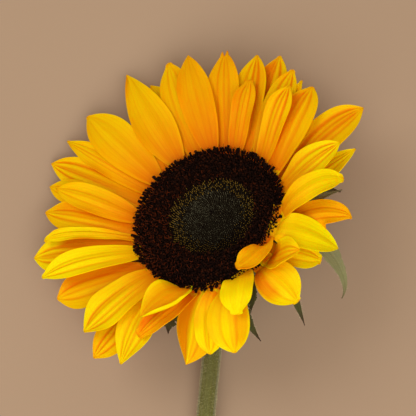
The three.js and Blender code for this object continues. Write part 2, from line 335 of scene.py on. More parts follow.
def makeVeinGroup():
    # Long parallel veins and streaks: the UV's first number runs along them, its second across
    group, start, end = newGroup(
        "lengthwiseVeins",
        [("UV", "NodeSocketVector", None), ("Veins", "NodeSocketFloat", 11.0),
         ("Wander", "NodeSocketFloat", 0.1)],
        [("Vein", "NodeSocketFloat"), ("Streak", "NodeSocketFloat")],
    )
    split = group.nodes.new("ShaderNodeSeparateXYZ")
    group.links.new(start.outputs["UV"], split.inputs[0])
    drift = group.nodes.new("ShaderNodeTexNoise")
    drift.inputs["Scale"].default_value = veinForm["driftScale"]
    group.links.new(start.outputs["UV"], drift.inputs["Vector"])
    across = plus(group, split.outputs["Y"], times(group, drift.outputs["Fac"], start.outputs["Wander"]))
    phase = times(group, times(group, across, start.outputs["Veins"]), 2 * math.pi)
    wave = plus(group, times(group, mathNode(group, "SINE", phase), 0.5), 0.5)
    group.links.new(mathNode(group, "POWER", wave, veinForm["sharpness"]), end.inputs["Vein"])
    stretch = group.nodes.new("ShaderNodeCombineXYZ")
    group.links.new(times(group, split.outputs["X"], veinForm["streakAlong"]), stretch.inputs[0])
    group.links.new(times(group, split.outputs["Y"], veinForm["streakAcross"]), stretch.inputs[1])
    streak = group.nodes.new("ShaderNodeTexNoise")
    streak.inputs["Scale"].default_value = 1
    streak.inputs["Detail"].default_value = veinForm["streakDetail"]
    group.links.new(stretch.outputs[0], streak.inputs["Vector"])
    group.links.new(streak.outputs["Fac"], end.inputs["Streak"])
    return group


grainGroup = makeGrainGroup()
veinGroup = makeVeinGroup()


def newFinish(name, roughness, subsurface=0.0, radius=(1, 1, 1), scale=0.001, sheen=0.0, specular=0.5):
    material = bpy.data.materials.new(name)
    material.use_nodes = True
    tree = material.node_tree
    shader = tree.nodes["Principled BSDF"]
    shader.inputs["Roughness"].default_value = roughness
    shader.inputs["Subsurface Weight"].default_value = subsurface
    shader.inputs["Subsurface Radius"].default_value = radius
    shader.inputs["Subsurface Scale"].default_value = scale
    shader.inputs["Sheen Weight"].default_value = sheen
    shader.inputs["Specular IOR Level"].default_value = specular
    return material, tree, shader


def addBump(tree, shader, height, distance, strength=0.6):
    bump = tree.nodes.new("ShaderNodeBump")
    bump.inputs["Strength"].default_value = strength
    bump.inputs["Distance"].default_value = distance
    tree.links.new(height, bump.inputs["Height"])
    tree.links.new(bump.outputs["Normal"], shader.inputs["Normal"])


def placeGroup(tree, group, **values):
    node = tree.nodes.new("ShaderNodeGroup")
    node.node_tree = group
    for name, value in values.items():
        node.inputs[name.replace("_", " ")].default_value = value
    return node


def surfaceUV(tree):
    # The piece's own UV map, and its numbers along and across the surface
    uv = tree.nodes.new("ShaderNodeUVMap")
    uv.uv_map = "UVMap"
    split = tree.nodes.new("ShaderNodeSeparateXYZ")
    tree.links.new(uv.outputs[0], split.inputs[0])
    return uv.outputs[0], split.outputs["X"], split.outputs["Y"]


def pointValue(tree, name):
    # A value stored on the petal's points
    node = tree.nodes.new("ShaderNodeAttribute")
    node.attribute_name = name
    return node.outputs["Fac"]


petalLook = {
    "subsurface": 0.45,
    "subsurfaceRadius": (1, 0.36, 0.02),
    "subsurfaceScale": 0.0014,
    "specular": 0.03,
    "roughness": 0.5,
    "grainRoughness": 0.16,
    "veins": 10.0,
    "streakReach": 0.22,     # how much further out orange runs along a streak
    "orangeTo": 0.1,         # the colours' places along the petal
    "middleAt": 0.36,
    "outerFrom": 0.7,
    "outerTo": 0.975,
    "creaseTint": 0.85,
    "veinTint": 0.1,
    "wander": 0.05,
    "grainScale": 1400.0,
    "coarseScale": 70.0,
    "mottle": 0.2,
    "bump": 0.00008,
}


def petalFinish(name, base, middle, outer, edge, marginPower=7, marginGlow=0.45):
    material, tree, shader = newFinish(name, petalLook["roughness"], petalLook["subsurface"],
                                       petalLook["subsurfaceRadius"], petalLook["subsurfaceScale"],
                                       specular=petalLook["specular"])
    uv, alongUV, acrossUV = surfaceUV(tree)
    veins = placeGroup(tree, veinGroup, Veins=petalLook["veins"], Wander=petalLook["wander"])
    tree.links.new(uv, veins.inputs["UV"])
    grain = placeGroup(tree, grainGroup, Scale=petalLook["grainScale"], Coarse_Scale=petalLook["coarseScale"])
    # orange runs further out along some streaks than along others
    streaks = mathNode(tree, "SUBTRACT", veins.outputs["Streak"], 0.5)
    along = plus(tree, alongUV, times(tree, streaks, petalLook["streakReach"]))
    colour = rampNode(tree, along, [(petalLook["orangeTo"], base), (petalLook["middleAt"], middle),
                                    (petalLook["outerFrom"], outer), (petalLook["outerTo"], outer),
                                    (1.0, base)])
    # painted light: thin margins and the "ridge" values are painted paler as a highlight, and the "crease"
    # values, mostly painted shade, mix towards the deep base colour
    across = mathNode(tree, "ABSOLUTE", times(tree, mathNode(tree, "SUBTRACT", acrossUV, 0.5), 2))
    margin = times(tree, mathNode(tree, "POWER", across, marginPower), marginGlow)
    glowing = mixNode(tree, margin, colour, edge)
    glowing = mixNode(tree, pointValue(tree, "ridge"), glowing, edge)
    crease = times(tree, pointValue(tree, "crease"), petalLook["creaseTint"])
    creased = mixNode(tree, crease, glowing, base)
    lined = mixNode(tree, times(tree, veins.outputs["Vein"], petalLook["veinTint"]), creased, base)
    mottled = mixNode(tree, times(tree, grain.outputs["Coarse"], petalLook["mottle"]), lined, middle)
    tree.links.new(mottled, shader.inputs["Base Color"])
    rough = plus(tree, times(tree, grain.outputs["Fine"], petalLook["grainRoughness"]),
                 petalLook["roughness"] - petalLook["grainRoughness"] / 2)
    tree.links.new(rough, shader.inputs["Roughness"])
    height = plus(tree, times(tree, veins.outputs["Vein"], -0.5), times(tree, veins.outputs["Streak"], 0.5))
    height = plus(tree, height, times(tree, grain.outputs["Fine"], 0.12))
    addBump(tree, shader, height, petalLook["bump"], 0.5)
    return material


plainLook = {
    "specular": 0.06,
    "coarseScale": 260.0,
    "mottle": 0.4,
    "grainRoughness": 0.2,
}
greenLook = {
    "roughness": 0.62,
    "subsurface": 0.08,
    "subsurfaceRadius": (0.5, 0.8, 0.2),
    "subsurfaceScale": 0.0006,
    "specular": 0.3,
    "wander": 0.02,
    "grainScale": 1100.0,
    "coarseScale": 170.0,
    "streakTint": 0.55,
    "veinTint": 0.3,
    "tipFrom": 0.8,          # a bract's tip has a colour of its own from here on
    "bump": 0.00012,
}


def plainPlantFinish(name, colour, shade, roughness, bump=0.0001, grainScale=1600.0, sheen=0.0):
    # A colour with fine mottling towards a shade of its own
    material, tree, shader = newFinish(name, roughness, sheen=sheen, specular=plainLook["specular"])
    grain = placeGroup(tree, grainGroup, Scale=grainScale, Coarse_Scale=plainLook["coarseScale"])
    fine = mixNode(tree, grain.outputs["Fine"], colour, shade)
    coarse = mixNode(tree, times(tree, grain.outputs["Coarse"], plainLook["mottle"]), fine, shade)
    tree.links.new(coarse, shader.inputs["Base Color"])
    rough = plus(tree, times(tree, grain.outputs["Fine"], plainLook["grainRoughness"]),
                 roughness - plainLook["grainRoughness"] / 2)
    tree.links.new(rough, shader.inputs["Roughness"])
    addBump(tree, shader, grain.outputs["Fine"], bump)
    return material


def veinedGreenFinish(name, colour, shade, tipColour, veinCount, sheen):
    # Bracts and stem: green with paler or darker lines that follow the surface
    material, tree, shader = newFinish(name, greenLook["roughness"], greenLook["subsurface"],
                                       greenLook["subsurfaceRadius"], greenLook["subsurfaceScale"],
                                       sheen, greenLook["specular"])
    uv, alongUV, _ = surfaceUV(tree)
    veins = placeGroup(tree, veinGroup, Veins=veinCount, Wander=greenLook["wander"])
    tree.links.new(uv, veins.inputs["UV"])
    grain = placeGroup(tree, grainGroup, Scale=greenLook["grainScale"], Coarse_Scale=greenLook["coarseScale"])
    mottled = mixNode(tree, grain.outputs["Coarse"], colour, shade)
    streaked = mixNode(tree, times(tree, veins.outputs["Streak"], greenLook["streakTint"]), mottled, shade)
    lined = mixNode(tree, times(tree, veins.outputs["Vein"], greenLook["veinTint"]), streaked, colour)
    tipMask = rampNode(tree, alongUV, [(greenLook["tipFrom"], (0, 0, 0)), (1.0, (1, 1, 1))])
    tree.links.new(mixNode(tree, tipMask, lined, tipColour), shader.inputs["Base Color"])
    height = plus(tree, veins.outputs["Vein"], times(tree, grain.outputs["Fine"], 0.5))
    addBump(tree, shader, height, greenLook["bump"])
    return material


print("finishes")
finish = {
    # the petal tones are partly the petals' own and partly painted light: "deep" and "golden" are shaded
    # copies for petals in shade, "bright" and "pale" lit copies for petals facing the light, and "curled" has
    # a shaded inside with a painted highlight along its roll
    "deep": petalFinish("petalDeep", (0.76, 0.13, 0.0002), (0.88, 0.29, 0.0002),
                        (0.93, 0.41, 0.0002), (0.98, 0.5, 0.0003)),
    "golden": petalFinish("petalGolden", (0.78, 0.15, 0.0002), (0.92, 0.34, 0.0002),
                          (0.96, 0.52, 0.0002), (0.99, 0.64, 0.0003)),
    "bright": petalFinish("petalBright", (0.82, 0.19, 0.0002), (0.95, 0.44, 0.0002),
                          (1.0, 0.7, 0.0002), (1.0, 0.76, 0.0003)),
    "pale": petalFinish("petalPale", (0.9, 0.36, 0.0002), (0.97, 0.58, 0.0002),
                        (1.0, 0.74, 0.0002), (1.0, 0.8, 0.0003)),
    "curled": petalFinish("petalCurled", (0.8, 0.17, 0.0002), (0.88, 0.27, 0.0002),
                          (0.92, 0.36, 0.0002), (1.0, 0.76, 0.0003), 3, 0.95),
    "bract": veinedGreenFinish("bractGreen", (0.1, 0.098, 0.016), (0.042, 0.042, 0.007),
                               (0.05, 0.016, 0.007), 7.0, 0.02),
    "bractPale": veinedGreenFinish("bractPale", (0.34, 0.32, 0.15), (0.18, 0.18, 0.06),
                                   (0.16, 0.13, 0.05), 5.0, 0.05),
    "base": plainPlantFinish("headBaseGreen", (0.12, 0.17, 0.05), (0.06, 0.085, 0.03), 0.65, sheen=0.2),
    "stem": veinedGreenFinish("stemGreen", (0.15, 0.145, 0.018), (0.088, 0.084, 0.01),
                              (0.15, 0.145, 0.02), 10.0, 0.28),
    "pith": plainPlantFinish("stemPith", (0.6, 0.62, 0.42), (0.42, 0.46, 0.26), 0.8),
    "hair": plainPlantFinish("plantHair", (0.82, 0.78, 0.46), (0.7, 0.66, 0.34), 0.6),
    "bed": plainPlantFinish("discBed", (0.008, 0.003, 0.0012), (0.004, 0.0015, 0.0006), 0.85),
    "floretBlack": plainPlantFinish("floretBlack", (0.012, 0.0035, 0.0015), (0.006, 0.0018, 0.0008), 0.75),
    "floretBrown": plainPlantFinish("floretBrown", (0.055, 0.012, 0.003), (0.022, 0.005, 0.0015), 0.75),
    "floretRed": plainPlantFinish("floretRed", (0.26, 0.042, 0.006), (0.12, 0.017, 0.003), 0.7),
    "budTip": plainPlantFinish("budTipOlive", (0.38, 0.225, 0.028), (0.21, 0.12, 0.015), 0.65),
    "budPale": plainPlantFinish("budPale", (0.255, 0.23, 0.135), (0.14, 0.127, 0.072), 0.7),
    "budGreen": plainPlantFinish("budGreen", (0.031, 0.024, 0.011), (0.015, 0.011, 0.005), 0.75),
    "budGrey": plainPlantFinish("budGrey", (0.075, 0.07, 0.04), (0.042, 0.038, 0.022), 0.75),
    "budDark": plainPlantFinish("budDark", (0.014, 0.009, 0.005), (0.007, 0.0045, 0.0025), 0.8),
}


# Petals, on a finer grid than the solids' but by the same rule, with some a little closer to the photo

petalRows = {
    "front": {"height": -1.6, "lift": 18, "droop": 14},
    "middle": {"height": -2.9, "lift": 11, "droop": 11},
    "back": {"height": -4.2, "lift": 4, "droop": 8},
}
petalForm = {
    "thickness": 0.4,
    "rimRadius": 35.8,
    "grooveRadius": 31.1,
    "clawHalfWidth": 3.3,
    "clawShare": 1 / 9,
    "settle": 0.4,
    "tip": 0.9,
    "widestAt": 0.5,
    "groove": 0.55,
    "cup": 0.12,
    "reins": 0.36,
    "alongSteps": 84,
    "acrossSteps": 28,
    "fold": 0,
    "curl": 0,           # radians that the edge turns up by, counterclockwise edge where positive
    "sway": 0,
    # what follows is on the scene's petals alone
    "creases": 3,
    "creaseDepth": 0.3,
    "creaseWidth": 0.08,
    "wave": 0.6,
    "deepen": 0,         # painted shade: how much deeper orange one half is painted, as if in shadow, the counterclockwise half where positive
    "deepenTo": 1,       # and how far along
    "litFrom": (-0.75, 0.35, 1.2),   # painted shade and highlight: slopes that face away from this light are painted a deeper orange, slopes that face it paler
    # how strongly that slope to the light is painted in
    "relief": 2.8,
    "round": 2.3,        # higher values round the tip
    "rollPower": 2,      # how close to its edge a rolled petal turns up
    "fill": 0.8,         # lower values fill out its base
    "twist": 0,          # degrees at the tip
    "hook": 0,           # millimetres that the tip's point bends aside
    "notch": 0.4,
    "bluntFrom": 0.95,   # where along the blade the tip's round, its hook and its notch begin
    "hookFrom": 0.86,
    "notchFrom": 0.9,
    "inset": 0,          # millimetres that it comes in over the ring of florets
    "tone": "golden",
}
petals = [
    dict(at=82, to=87.5, reach=86.5, rise=2, wide=15.5, row="middle", widestAt=0.6, tip=2.1, notch=3.2,
         tone="deep", creaseDepth=0.25),
    dict(at=92, to=99.6, reach=88, rise=3, wide=16.5, row="front", tone="deep", creaseDepth=0.08, hook=-0.5),
    dict(at=102, to=106, reach=88.5, rise=2, wide=16.5, row="middle", height=-2.3, creaseDepth=0.2, tip=2,
         round=2.8, deepen=-0.5, clawHalfWidth=4.2),
    dict(at=109, to=113, reach=83.2, rise=-1, wide=16, row="middle", creaseDepth=0.1, hook=1.6),
    dict(at=118, to=118.5, reach=93.5, rise=2, wide=19, row="front", widestAt=0.4, creaseDepth=0.07,
         hook=0.8, curl=0.25, round=1.75, sway=3),
    dict(at=129, to=128, reach=70, rise=0, wide=12, row="middle", height=-1.9, tone="deep"),
    dict(at=138, to=135.5, reach=88, rise=3, wide=19.5, row="front", widestAt=0.55, tip=1.6,
         creaseDepth=0.12, hook=0.8),
    dict(at=146, to=145.5, reach=89, rise=1, wide=11.5, row="middle", creaseDepth=0.3),
    dict(at=155, to=153.5, reach=91, rise=-1, wide=16.5, row="back", height=-3.6, lift=8, widestAt=0.55,
         creaseDepth=0.45, creases=4, round=2.6),
    dict(at=167, to=160.3, reach=87, rise=-3, wide=12.5, row="middle", widestAt=0.66, round=2.8),
    dict(at=170, to=162.2, reach=79, rise=3, wide=13.2, row="front", creaseDepth=0.22, tip=1.3, round=2.6),
    dict(at=180, to=169.5, reach=83.5, rise=-2, wide=15.5, row="middle", widestAt=0.62, creaseDepth=0.3,
         deepen=-0.6, tip=1.2, round=2.6),
    dict(at=186, to=180.3, reach=79.5, rise=1, wide=6.6, row="middle", sway=-9, widestAt=0.72, tip=1.7,
         tone="bright", creaseDepth=0.3, round=3, clawHalfWidth=1.2, fill=1.3, hook=1.2),
    dict(at=193, to=184.3, reach=87, rise=-5, wide=19, row="back", widestAt=0.65, tone="bright",
         creaseDepth=0.45, creases=4, tip=1.8, round=3, deepen=-1.7, deepenTo=0.8),
    dict(at=199.5, to=195.9, reach=80, rise=4, wide=13.4, row="front", widestAt=0.56, tone="pale", sway=-6,
         creaseDepth=0.45, tip=1.6, round=2.7),
    dict(at=213, to=202, reach=78, rise=-4, wide=20, row="back", widestAt=0.6, tip=1.8, round=2.9,
         deepen=-0.7),
    dict(at=224, to=221, reach=74, rise=-1, wide=18.6, row="middle", sway=-4, widestAt=0.6, tone="bright",
         height=-0.6, inset=0.6, creaseDepth=0.5, creases=4, tip=1.4, round=2.6, clawHalfWidth=4.4),
    dict(at=232, to=226.5, reach=79, rise=-10, wide=18, row="back", widestAt=0.62, creaseDepth=0.45, tip=1.4,
         round=2.6),
    dict(at=236, to=238.3, reach=74.5, rise=-6, wide=17.8, row="middle", sway=-7, tone="bright",
         creaseDepth=0.4, creases=4, tip=1.2),
    dict(at=258, to=242.5, reach=54.5, rise=8, wide=18, row="front", height=0.4, rimRadius=34.4, lift=62,
         droop=8, curl=3.4, rollPower=4, tone="curled", creaseDepth=0.1, widestAt=0.45, relief=0.6,
         clawHalfWidth=1.8, grooveRadius=32.8),
    dict(at=259.5, to=240.8, reach=61, rise=-1, wide=11.5, row="front", tip=2.6, widestAt=0.6, tone="deep",
         relief=1.5, deepen=-0.9),
    dict(at=269, to=259, reach=63.5, rise=-15, wide=20, row="back", height=-1, inset=0.3, lift=0, droop=20,
         fold=0.6, tone="bright", deepen=-0.6, relief=0.6),
    dict(at=278, to=269.5, reach=59.5, rise=-13, wide=14, row="middle", height=0.4, lift=8, droop=40,
         tip=1.6, tone="bright", creaseDepth=0.3, widestAt=0.58, round=3),
    dict(at=292, to=281, reach=62, rise=-11, wide=19, row="middle", sway=-14, lift=30, droop=50, tip=1.6,
         tone="bright", creaseDepth=0.2, deepen=0.6, widestAt=0.56, round=2.8),
    dict(at=300.5, to=288.6, reach=52, rise=2, wide=14.8, row="front", height=0.6, rimRadius=34.3,
         grooveRadius=32.6, lift=50, droop=50, widestAt=0.48, fill=0.5, clawHalfWidth=4.6, tip=2.8,
         tone="pale", creaseDepth=0.08, relief=0),
    dict(at=314, to=314.5, reach=56.5, rise=-10, wide=18.5, row="middle", lift=35, droop=60, tip=2.2,
         tone="bright", creaseDepth=0.15, fold=0.1, deepen=-0.75, deepenTo=0.75),
    dict(at=331, to=300, reach=35, rise=9, wide=10.5, row="front", height=1.6, inset=1.7, lift=60, droop=-5,
         sway=20, tone="deep", creaseDepth=0.1, tip=2.4, widestAt=0.65, round=3),
    dict(at=321, to=332.5, reach=50.5, rise=5, wide=15, row="middle", lift=35, droop=30, tone="curled",
         curl=-1.2, rollPower=3),
    dict(at=317, to=324, reach=47, rise=-9, wide=11, row="back", lift=4, droop=40),
    dict(at=330, to=337, reach=53.5, rise=-11, wide=13, row="back", lift=20, droop=50, tip=2.4,
         tone="bright", round=3),
    dict(at=341, to=345.3, reach=57.5, rise=-14, wide=15.6, row="front", height=1.5, inset=1.4, lift=50,
         droop=62, sway=8, widestAt=0.46, fill=0.8, clawHalfWidth=4.2, tone="pale", creaseDepth=0.12),
    dict(at=348, to=356.5, reach=64.5, rise=-6, wide=13, row="back", lift=22, droop=10, sway=31, tone="deep",
         hook=-1.2),
    dict(at=356, to=9, reach=63.5, rise=3, wide=12.2, row="front", height=1.2, inset=1, lift=32, droop=35,
         sway=20, clawHalfWidth=4.6, widestAt=0.68, tone="bright", creaseDepth=0.1, tip=2.4),
    dict(at=12, to=24, reach=71.5, rise=-5, wide=13, row="back", tone="bright", creaseDepth=0.3),
    dict(at=20, to=25, reach=67, rise=3, wide=16, row="front", tone="bright", creaseDepth=0.4, creases=4),
    dict(at=27, to=35, reach=84.5, rise=-3, wide=19.5, row="back", sway=10, widestAt=0.64, creaseDepth=0.5,
         creaseWidth=0.11, creases=4, round=2.5),
    dict(at=36, to=52.5, reach=76.5, rise=1, wide=17.5, row="front", widestAt=0.6, creaseDepth=0.35,
         creaseWidth=0.12, deepen=1, round=3, tip=2),
    dict(at=43, to=58, reach=77.5, rise=0, wide=10, row="middle"),
    dict(at=50, to=57.5, reach=70, rise=7, wide=12, row="front", widestAt=0.62, tip=1.6, creaseDepth=0.5,
         creaseWidth=0.12, round=2.7),
    dict(at=53, to=63, reach=81, rise=0, wide=14, row="middle", widestAt=0.62, creaseDepth=0.4,
         creaseWidth=0.12, tip=1.7, clawHalfWidth=4.2),
    dict(at=61, to=71, reach=88.5, rise=-4, wide=16.5, row="back", widestAt=0.6, creaseDepth=0.4,
         creaseWidth=0.12, tip=1.5, deepen=1.5, round=2.5, clawHalfWidth=4.6),
    dict(at=68, to=77.5, reach=86, rise=-1, wide=15, row="middle", widestAt=0.6, creaseDepth=0.45,
         creaseWidth=0.11, tip=1.4, deepen=-0.4, round=2.5, clawHalfWidth=4),
    dict(at=73, to=75.5, reach=70, rise=3.5, wide=11, row="front", tone="deep", tip=2.4, round=3, deepen=0.3,
         widestAt=0.6),
]


def turned(vector, clock):
    return Matrix.Rotation(math.radians(clock), 3, "Z") @ vector


class Blade:
    # The curve of a petal or bract, from its root to its tip
    def __init__(self, root, tip, lift, droop, sway, reins):
        chord = tip - root
        forward = Vector((chord.x, chord.y, 0)).normalized()
        pull = chord.length * reins

        def heading(turn, pitch):
            flat = turned(forward, turn) * math.cos(math.radians(pitch))
            return flat + Vector((0, 0, math.sin(math.radians(pitch))))

        self.knots = (root, root + heading(sway, lift) * pull, tip - heading(-sway, -droop) * pull, tip)
        self.side = Vector((0, 0, 1)).cross(forward)

    def frame(self, share, clawSide=None, settle=0.0):
        a, b, c, d = self.knots
        rest = 1 - share
        middle = a * rest**3 + b * (3 * rest**2 * share) + c * (3 * rest * share**2) + d * share**3
        forward = ((b - a) * rest**2 + (c - b) * (2 * rest * share) + (d - c) * share**2).normalized()
        side = self.side.copy()
        if clawSide is not None and share < settle:
            side = side.lerp(clawSide, 1 - share / settle)
        side = (side - forward * side.dot(forward)).normalized()
        return middle, forward, side


def bladeSwell(share, widestAt, claw, fill=1.0, rounding=2.0):
    opening = math.sin(ramp(share, 0, widestAt) * math.pi / 2) ** fill
    closing = 1 - ramp(share, widestAt, 1) ** rounding
    return (claw + (1 - claw) * opening) * closing


def crossSection(form, share, steps):
    # Sideways and upward places over the petal's width, as shares of its half width
    substeps = 6             # the roll is followed in finer steps than the mesh has
    across = np.linspace(-1, 1, steps + 1)
    fine = np.linspace(-1, 1, substeps * steps + 1)
    edge = np.maximum(0, np.sign(form["curl"]) * fine) ** form["rollPower"]
    rolled = abs(form["curl"]) * edge * min(1, share * 3)
    step = fine[1] - fine[0]
    sideways = np.cumsum(np.cos(rolled)) * step
    upward = np.cumsum(np.sin(rolled) * np.sign(form["curl"] or 1) * np.sign(fine)) * step
    middle = substeps * steps // 2
    sideways = (sideways - sideways[middle])[::substeps]
    upward = np.abs((upward - upward[middle])[::substeps])
    return across, sideways, upward


def slopeToLight(grid, litFrom):
    # How much more each point faces the light than the petal does on average at that length
    light = headTurn.to_3x3().inverted() @ Vector(litFrom).normalized()
    normals = np.cross(np.gradient(grid, axis=0), np.gradient(grid, axis=1))
    normals /= np.linalg.norm(normals, axis=2)[:, :, None] + 1e-9
    facing = normals @ np.array(light)
    return facing - facing.mean(axis=1)[:, None]


petalTint = {
    "halfTurn": 12,          # how sharply the half painted in shade begins
    "flank": 0.9,            # how deep the painted shade on a fold's flanks is
    "flankWidth": 0.3,
    # width of the painted highlight along a fold's ridge
    "foldWidth": 0.25,
    "pleats": 5,             # deeper stripes near the claw
    "pleatsTo": 0.4,
    "pleatDepth": 0.5,
    "fullCrease": 0.36,      # the crease depth whose painted shade is tinted in full
    "shadeLimit": 0.7,
    "shineLimit": 0.6,
}


def pointTint(form, across, share, creased, ends, phase):
    # How much painted shade a point takes (in its creases, on a shaded half and on a fold's flanks) with the
    # deeper pleat stripes near the claw, and how much painted highlight (along a fold's ridge and on the
    # ridges between creases)
    # painted shade: the half that would lie in shadow is painted a deeper orange
    towardsHalf = across * math.copysign(1, form["deepen"])
    deeper = abs(form["deepen"]) / (1 + math.exp(3 - petalTint["halfTurn"] * towardsHalf))
    deeper *= min(1, max(0, form["deepenTo"] - share) * 5) * min(1, (1 - abs(across)) * 6)
    wave = (0.5 + 0.5 * math.cos(petalTint["pleats"] * math.pi * across + phase)) ** 2
    pleats = petalTint["pleatDepth"] * (1 - ramp(share, 0, petalTint["pleatsTo"])) * wave
    flank = petalTint["flank"] * form["fold"] * (1 - math.exp(-((across / petalTint["flankWidth"]) ** 2)))
    deep = creased * form["creaseDepth"] / petalTint["fullCrease"] + deeper + flank + pleats
    folded = math.exp(-((across / petalTint["foldWidth"]) ** 2)) * min(1, form["fold"] * 2)
    between = max(0.0, 1 - 1.6 * creased) * ends * share * min(1, form["creaseDepth"] * 2)
    return deep, max(folded, between * (1 - abs(across)) ** 0.5)


def petalGrid(form, seed):
    # The petal's middle surface as an array of points, along by across, and how much painted shade and
    # painted highlight it takes there, with the pleat stripes and a rolled edge's paler back
    wild = random.Random(seed)
    phase, beat = wild.uniform(0, 6.3), wild.uniform(1.0, 2.0)
    spread = 1.5 / (form["creases"] + 1)
    lines = [(k - (form["creases"] - 1) / 2) * spread + wild.uniform(-0.08, 0.08)
             for k in range(form["creases"])]
    depths = [wild.uniform(0.6, 1.2) for _ in lines]
    twist = form["twist"] + wild.uniform(-7, 7)
    root = polar(form["at"], form["rimRadius"] - form["inset"], form["height"])
    groove = polar(form["at"], form["grooveRadius"] - form["inset"], form["height"])
    blade = Blade(root, polar(form["to"], form["reach"], form["rise"]),
                  form["lift"], form["droop"], form["sway"], form["reins"])
    clawForward = (root - groove).normalized()
    clawSide = Vector((0, 0, 1)).cross(clawForward)
    clawWidth = 2 * form["clawHalfWidth"] / form["wide"]
    rows, deepRows, paleRows = [], [], []
    for i in range(form["alongSteps"] + 1):
        along = i / form["alongSteps"]
        share = ramp(along, form["clawShare"], 1)
        if along < form["clawShare"]:
            middle = groove.lerp(root, along / form["clawShare"])
            forward, side = clawForward, clawSide
        else:
            middle, forward, side = blade.frame(share, clawSide, form["settle"])
        side = Matrix.Rotation(math.radians(twist) * share**2, 3, forward) @ side
        # a blunt tip ends in a small round, a sharp one in a point, and a notched one stays broad
        closing = ramp(share, form["bluntFrom"], 1)
        blunt = form["tip"] * (1 - 0.35 * closing**2 if form["notch"] > 1 else math.sqrt(1 - closing**2))
        swell = bladeSwell(share, form["widestAt"], clawWidth, form["fill"], form["round"])
        half = max(0.1, blunt, form["wide"] / 2 * swell)
        up = forward.cross(side)
        ends = min(1, share * 3) * min(1, (1 - share) * 9)   # creases fade out at both ends
        hooked = form["hook"] * ramp(share, form["hookFrom"], 1) ** 2
        row, deepRow, paleRow = [], [], []
        for across, sideways, rolled in zip(*crossSection(form, share, form["acrossSteps"])):
            shape = form["cup"] * across**2 - form["fold"] * abs(across) ** 1.3 + rolled
            height = share * half * shape
            height -= form["groove"] * abs(math.sin(math.pi * across)) * math.sin(math.pi * share)
            creased = sum(depth * math.exp(-(((across - line) / form["creaseWidth"]) ** 2))
                          for line, depth in zip(lines, depths))
            creased *= ends * (0.35 + 0.65 * share)
            height -= form["creaseDepth"] * creased
            waving = ends * across * abs(across) * math.sin(beat * 2 * math.pi * share + phase)
            height += form["wave"] * waving
            back = form["notch"] * ramp(share, form["notchFrom"], 1) * (1 - min(1, abs(across) * 1.3))
            row.append(middle + side * (sideways * half + hooked) + up * height - forward * back)
            deep, pale = pointTint(form, across, share, creased, ends, phase)
            deepRow.append(deep)
            paleRow.append(pale)
        rows.append(row)
        deepRows.append(deepRow)
        paleRows.append(paleRow)
    grid = np.array(rows)
    # painted light: slopes turned away from the key light are painted deeper orange as shade, slopes turned
    # to it paler as highlight
    relief = form["relief"] * slopeToLight(grid, form["litFrom"])
    # a rolled edge shows its paler back
    rolledSide = np.linspace(-1, 1, form["acrossSteps"] + 1) * np.sign(form["curl"])
    rolledOver = np.clip((rolledSide - 0.55) * 8, 0, 1) * min(1, abs(form["curl"]) / 3)
    shaded = np.array(deepRows) + np.clip(-relief, 0, petalTint["shadeLimit"])
    shining = np.array(paleRows) + np.clip(relief, 0, petalTint["shineLimit"])
    return grid, np.clip(shaded, 0, 1) * (1 - rolledOver), np.maximum(np.clip(shining, 0, 1), rolledOver)


def smoothField(field, passes):
    for _ in range(passes):
        padded = np.pad(field, 1, mode="edge")
        field = (padded[:-2, 1:-1] + padded[2:, 1:-1] + padded[1:-1, :-2] + padded[1:-1, 2:]) / 4
    return field


def gridFaces(rows, columns):
    return [(i * columns + j, (i + 1) * columns + j, (i + 1) * columns + j + 1, i * columns + j + 1)
            for i in range(rows - 1) for j in range(columns - 1)]


pressForm = {
    "clear": 0.55,           # how far a petal's middle surface stays under the one over it
    "depth": 5.0,            # how far down the upper one is looked for
    "passes": 3,
    "enough": 0.02,
    "spreadPasses": 6,       # how widely a pushed place takes the petal round it along
    "spreadGain": 1.3,
    "softenPasses": 2,
}


def pressUnder(grid, uppers):
    # Presses a petal down where it would come through one that lies over it
    rows, columns = grid.shape[:2]
    clawRows = int(rows * petalForm["clawShare"])
    clear = pressForm["clear"]
    for _ in range(pressForm["passes"]):
        push = np.zeros((rows, columns))
        low, high = grid.min((0, 1)), grid.max((0, 1))
        near = [tree for tree, a, b in uppers if (a[:2] < high[:2]).all() and (b[:2] > low[:2]).all()]
        for tree in near:
            for i in range(clawRows, rows):
                for j in range(columns):
                    x, y, z = grid[i, j]
                    hit = tree.ray_cast(Vector((x, y, z + clear)), Vector((0, 0, -1)), pressForm["depth"])
                    if hit[0] is not None:
                        push[i, j] = max(push[i, j], z + clear - hit[0].z)
        if push.max() < pressForm["enough"]:
            break
        spread = np.maximum(push, smoothField(push, pressForm["spreadPasses"]) * pressForm["spreadGain"])
        grid[:, :, 2] -= smoothField(np.maximum(push, spread), pressForm["softenPasses"])
    return grid


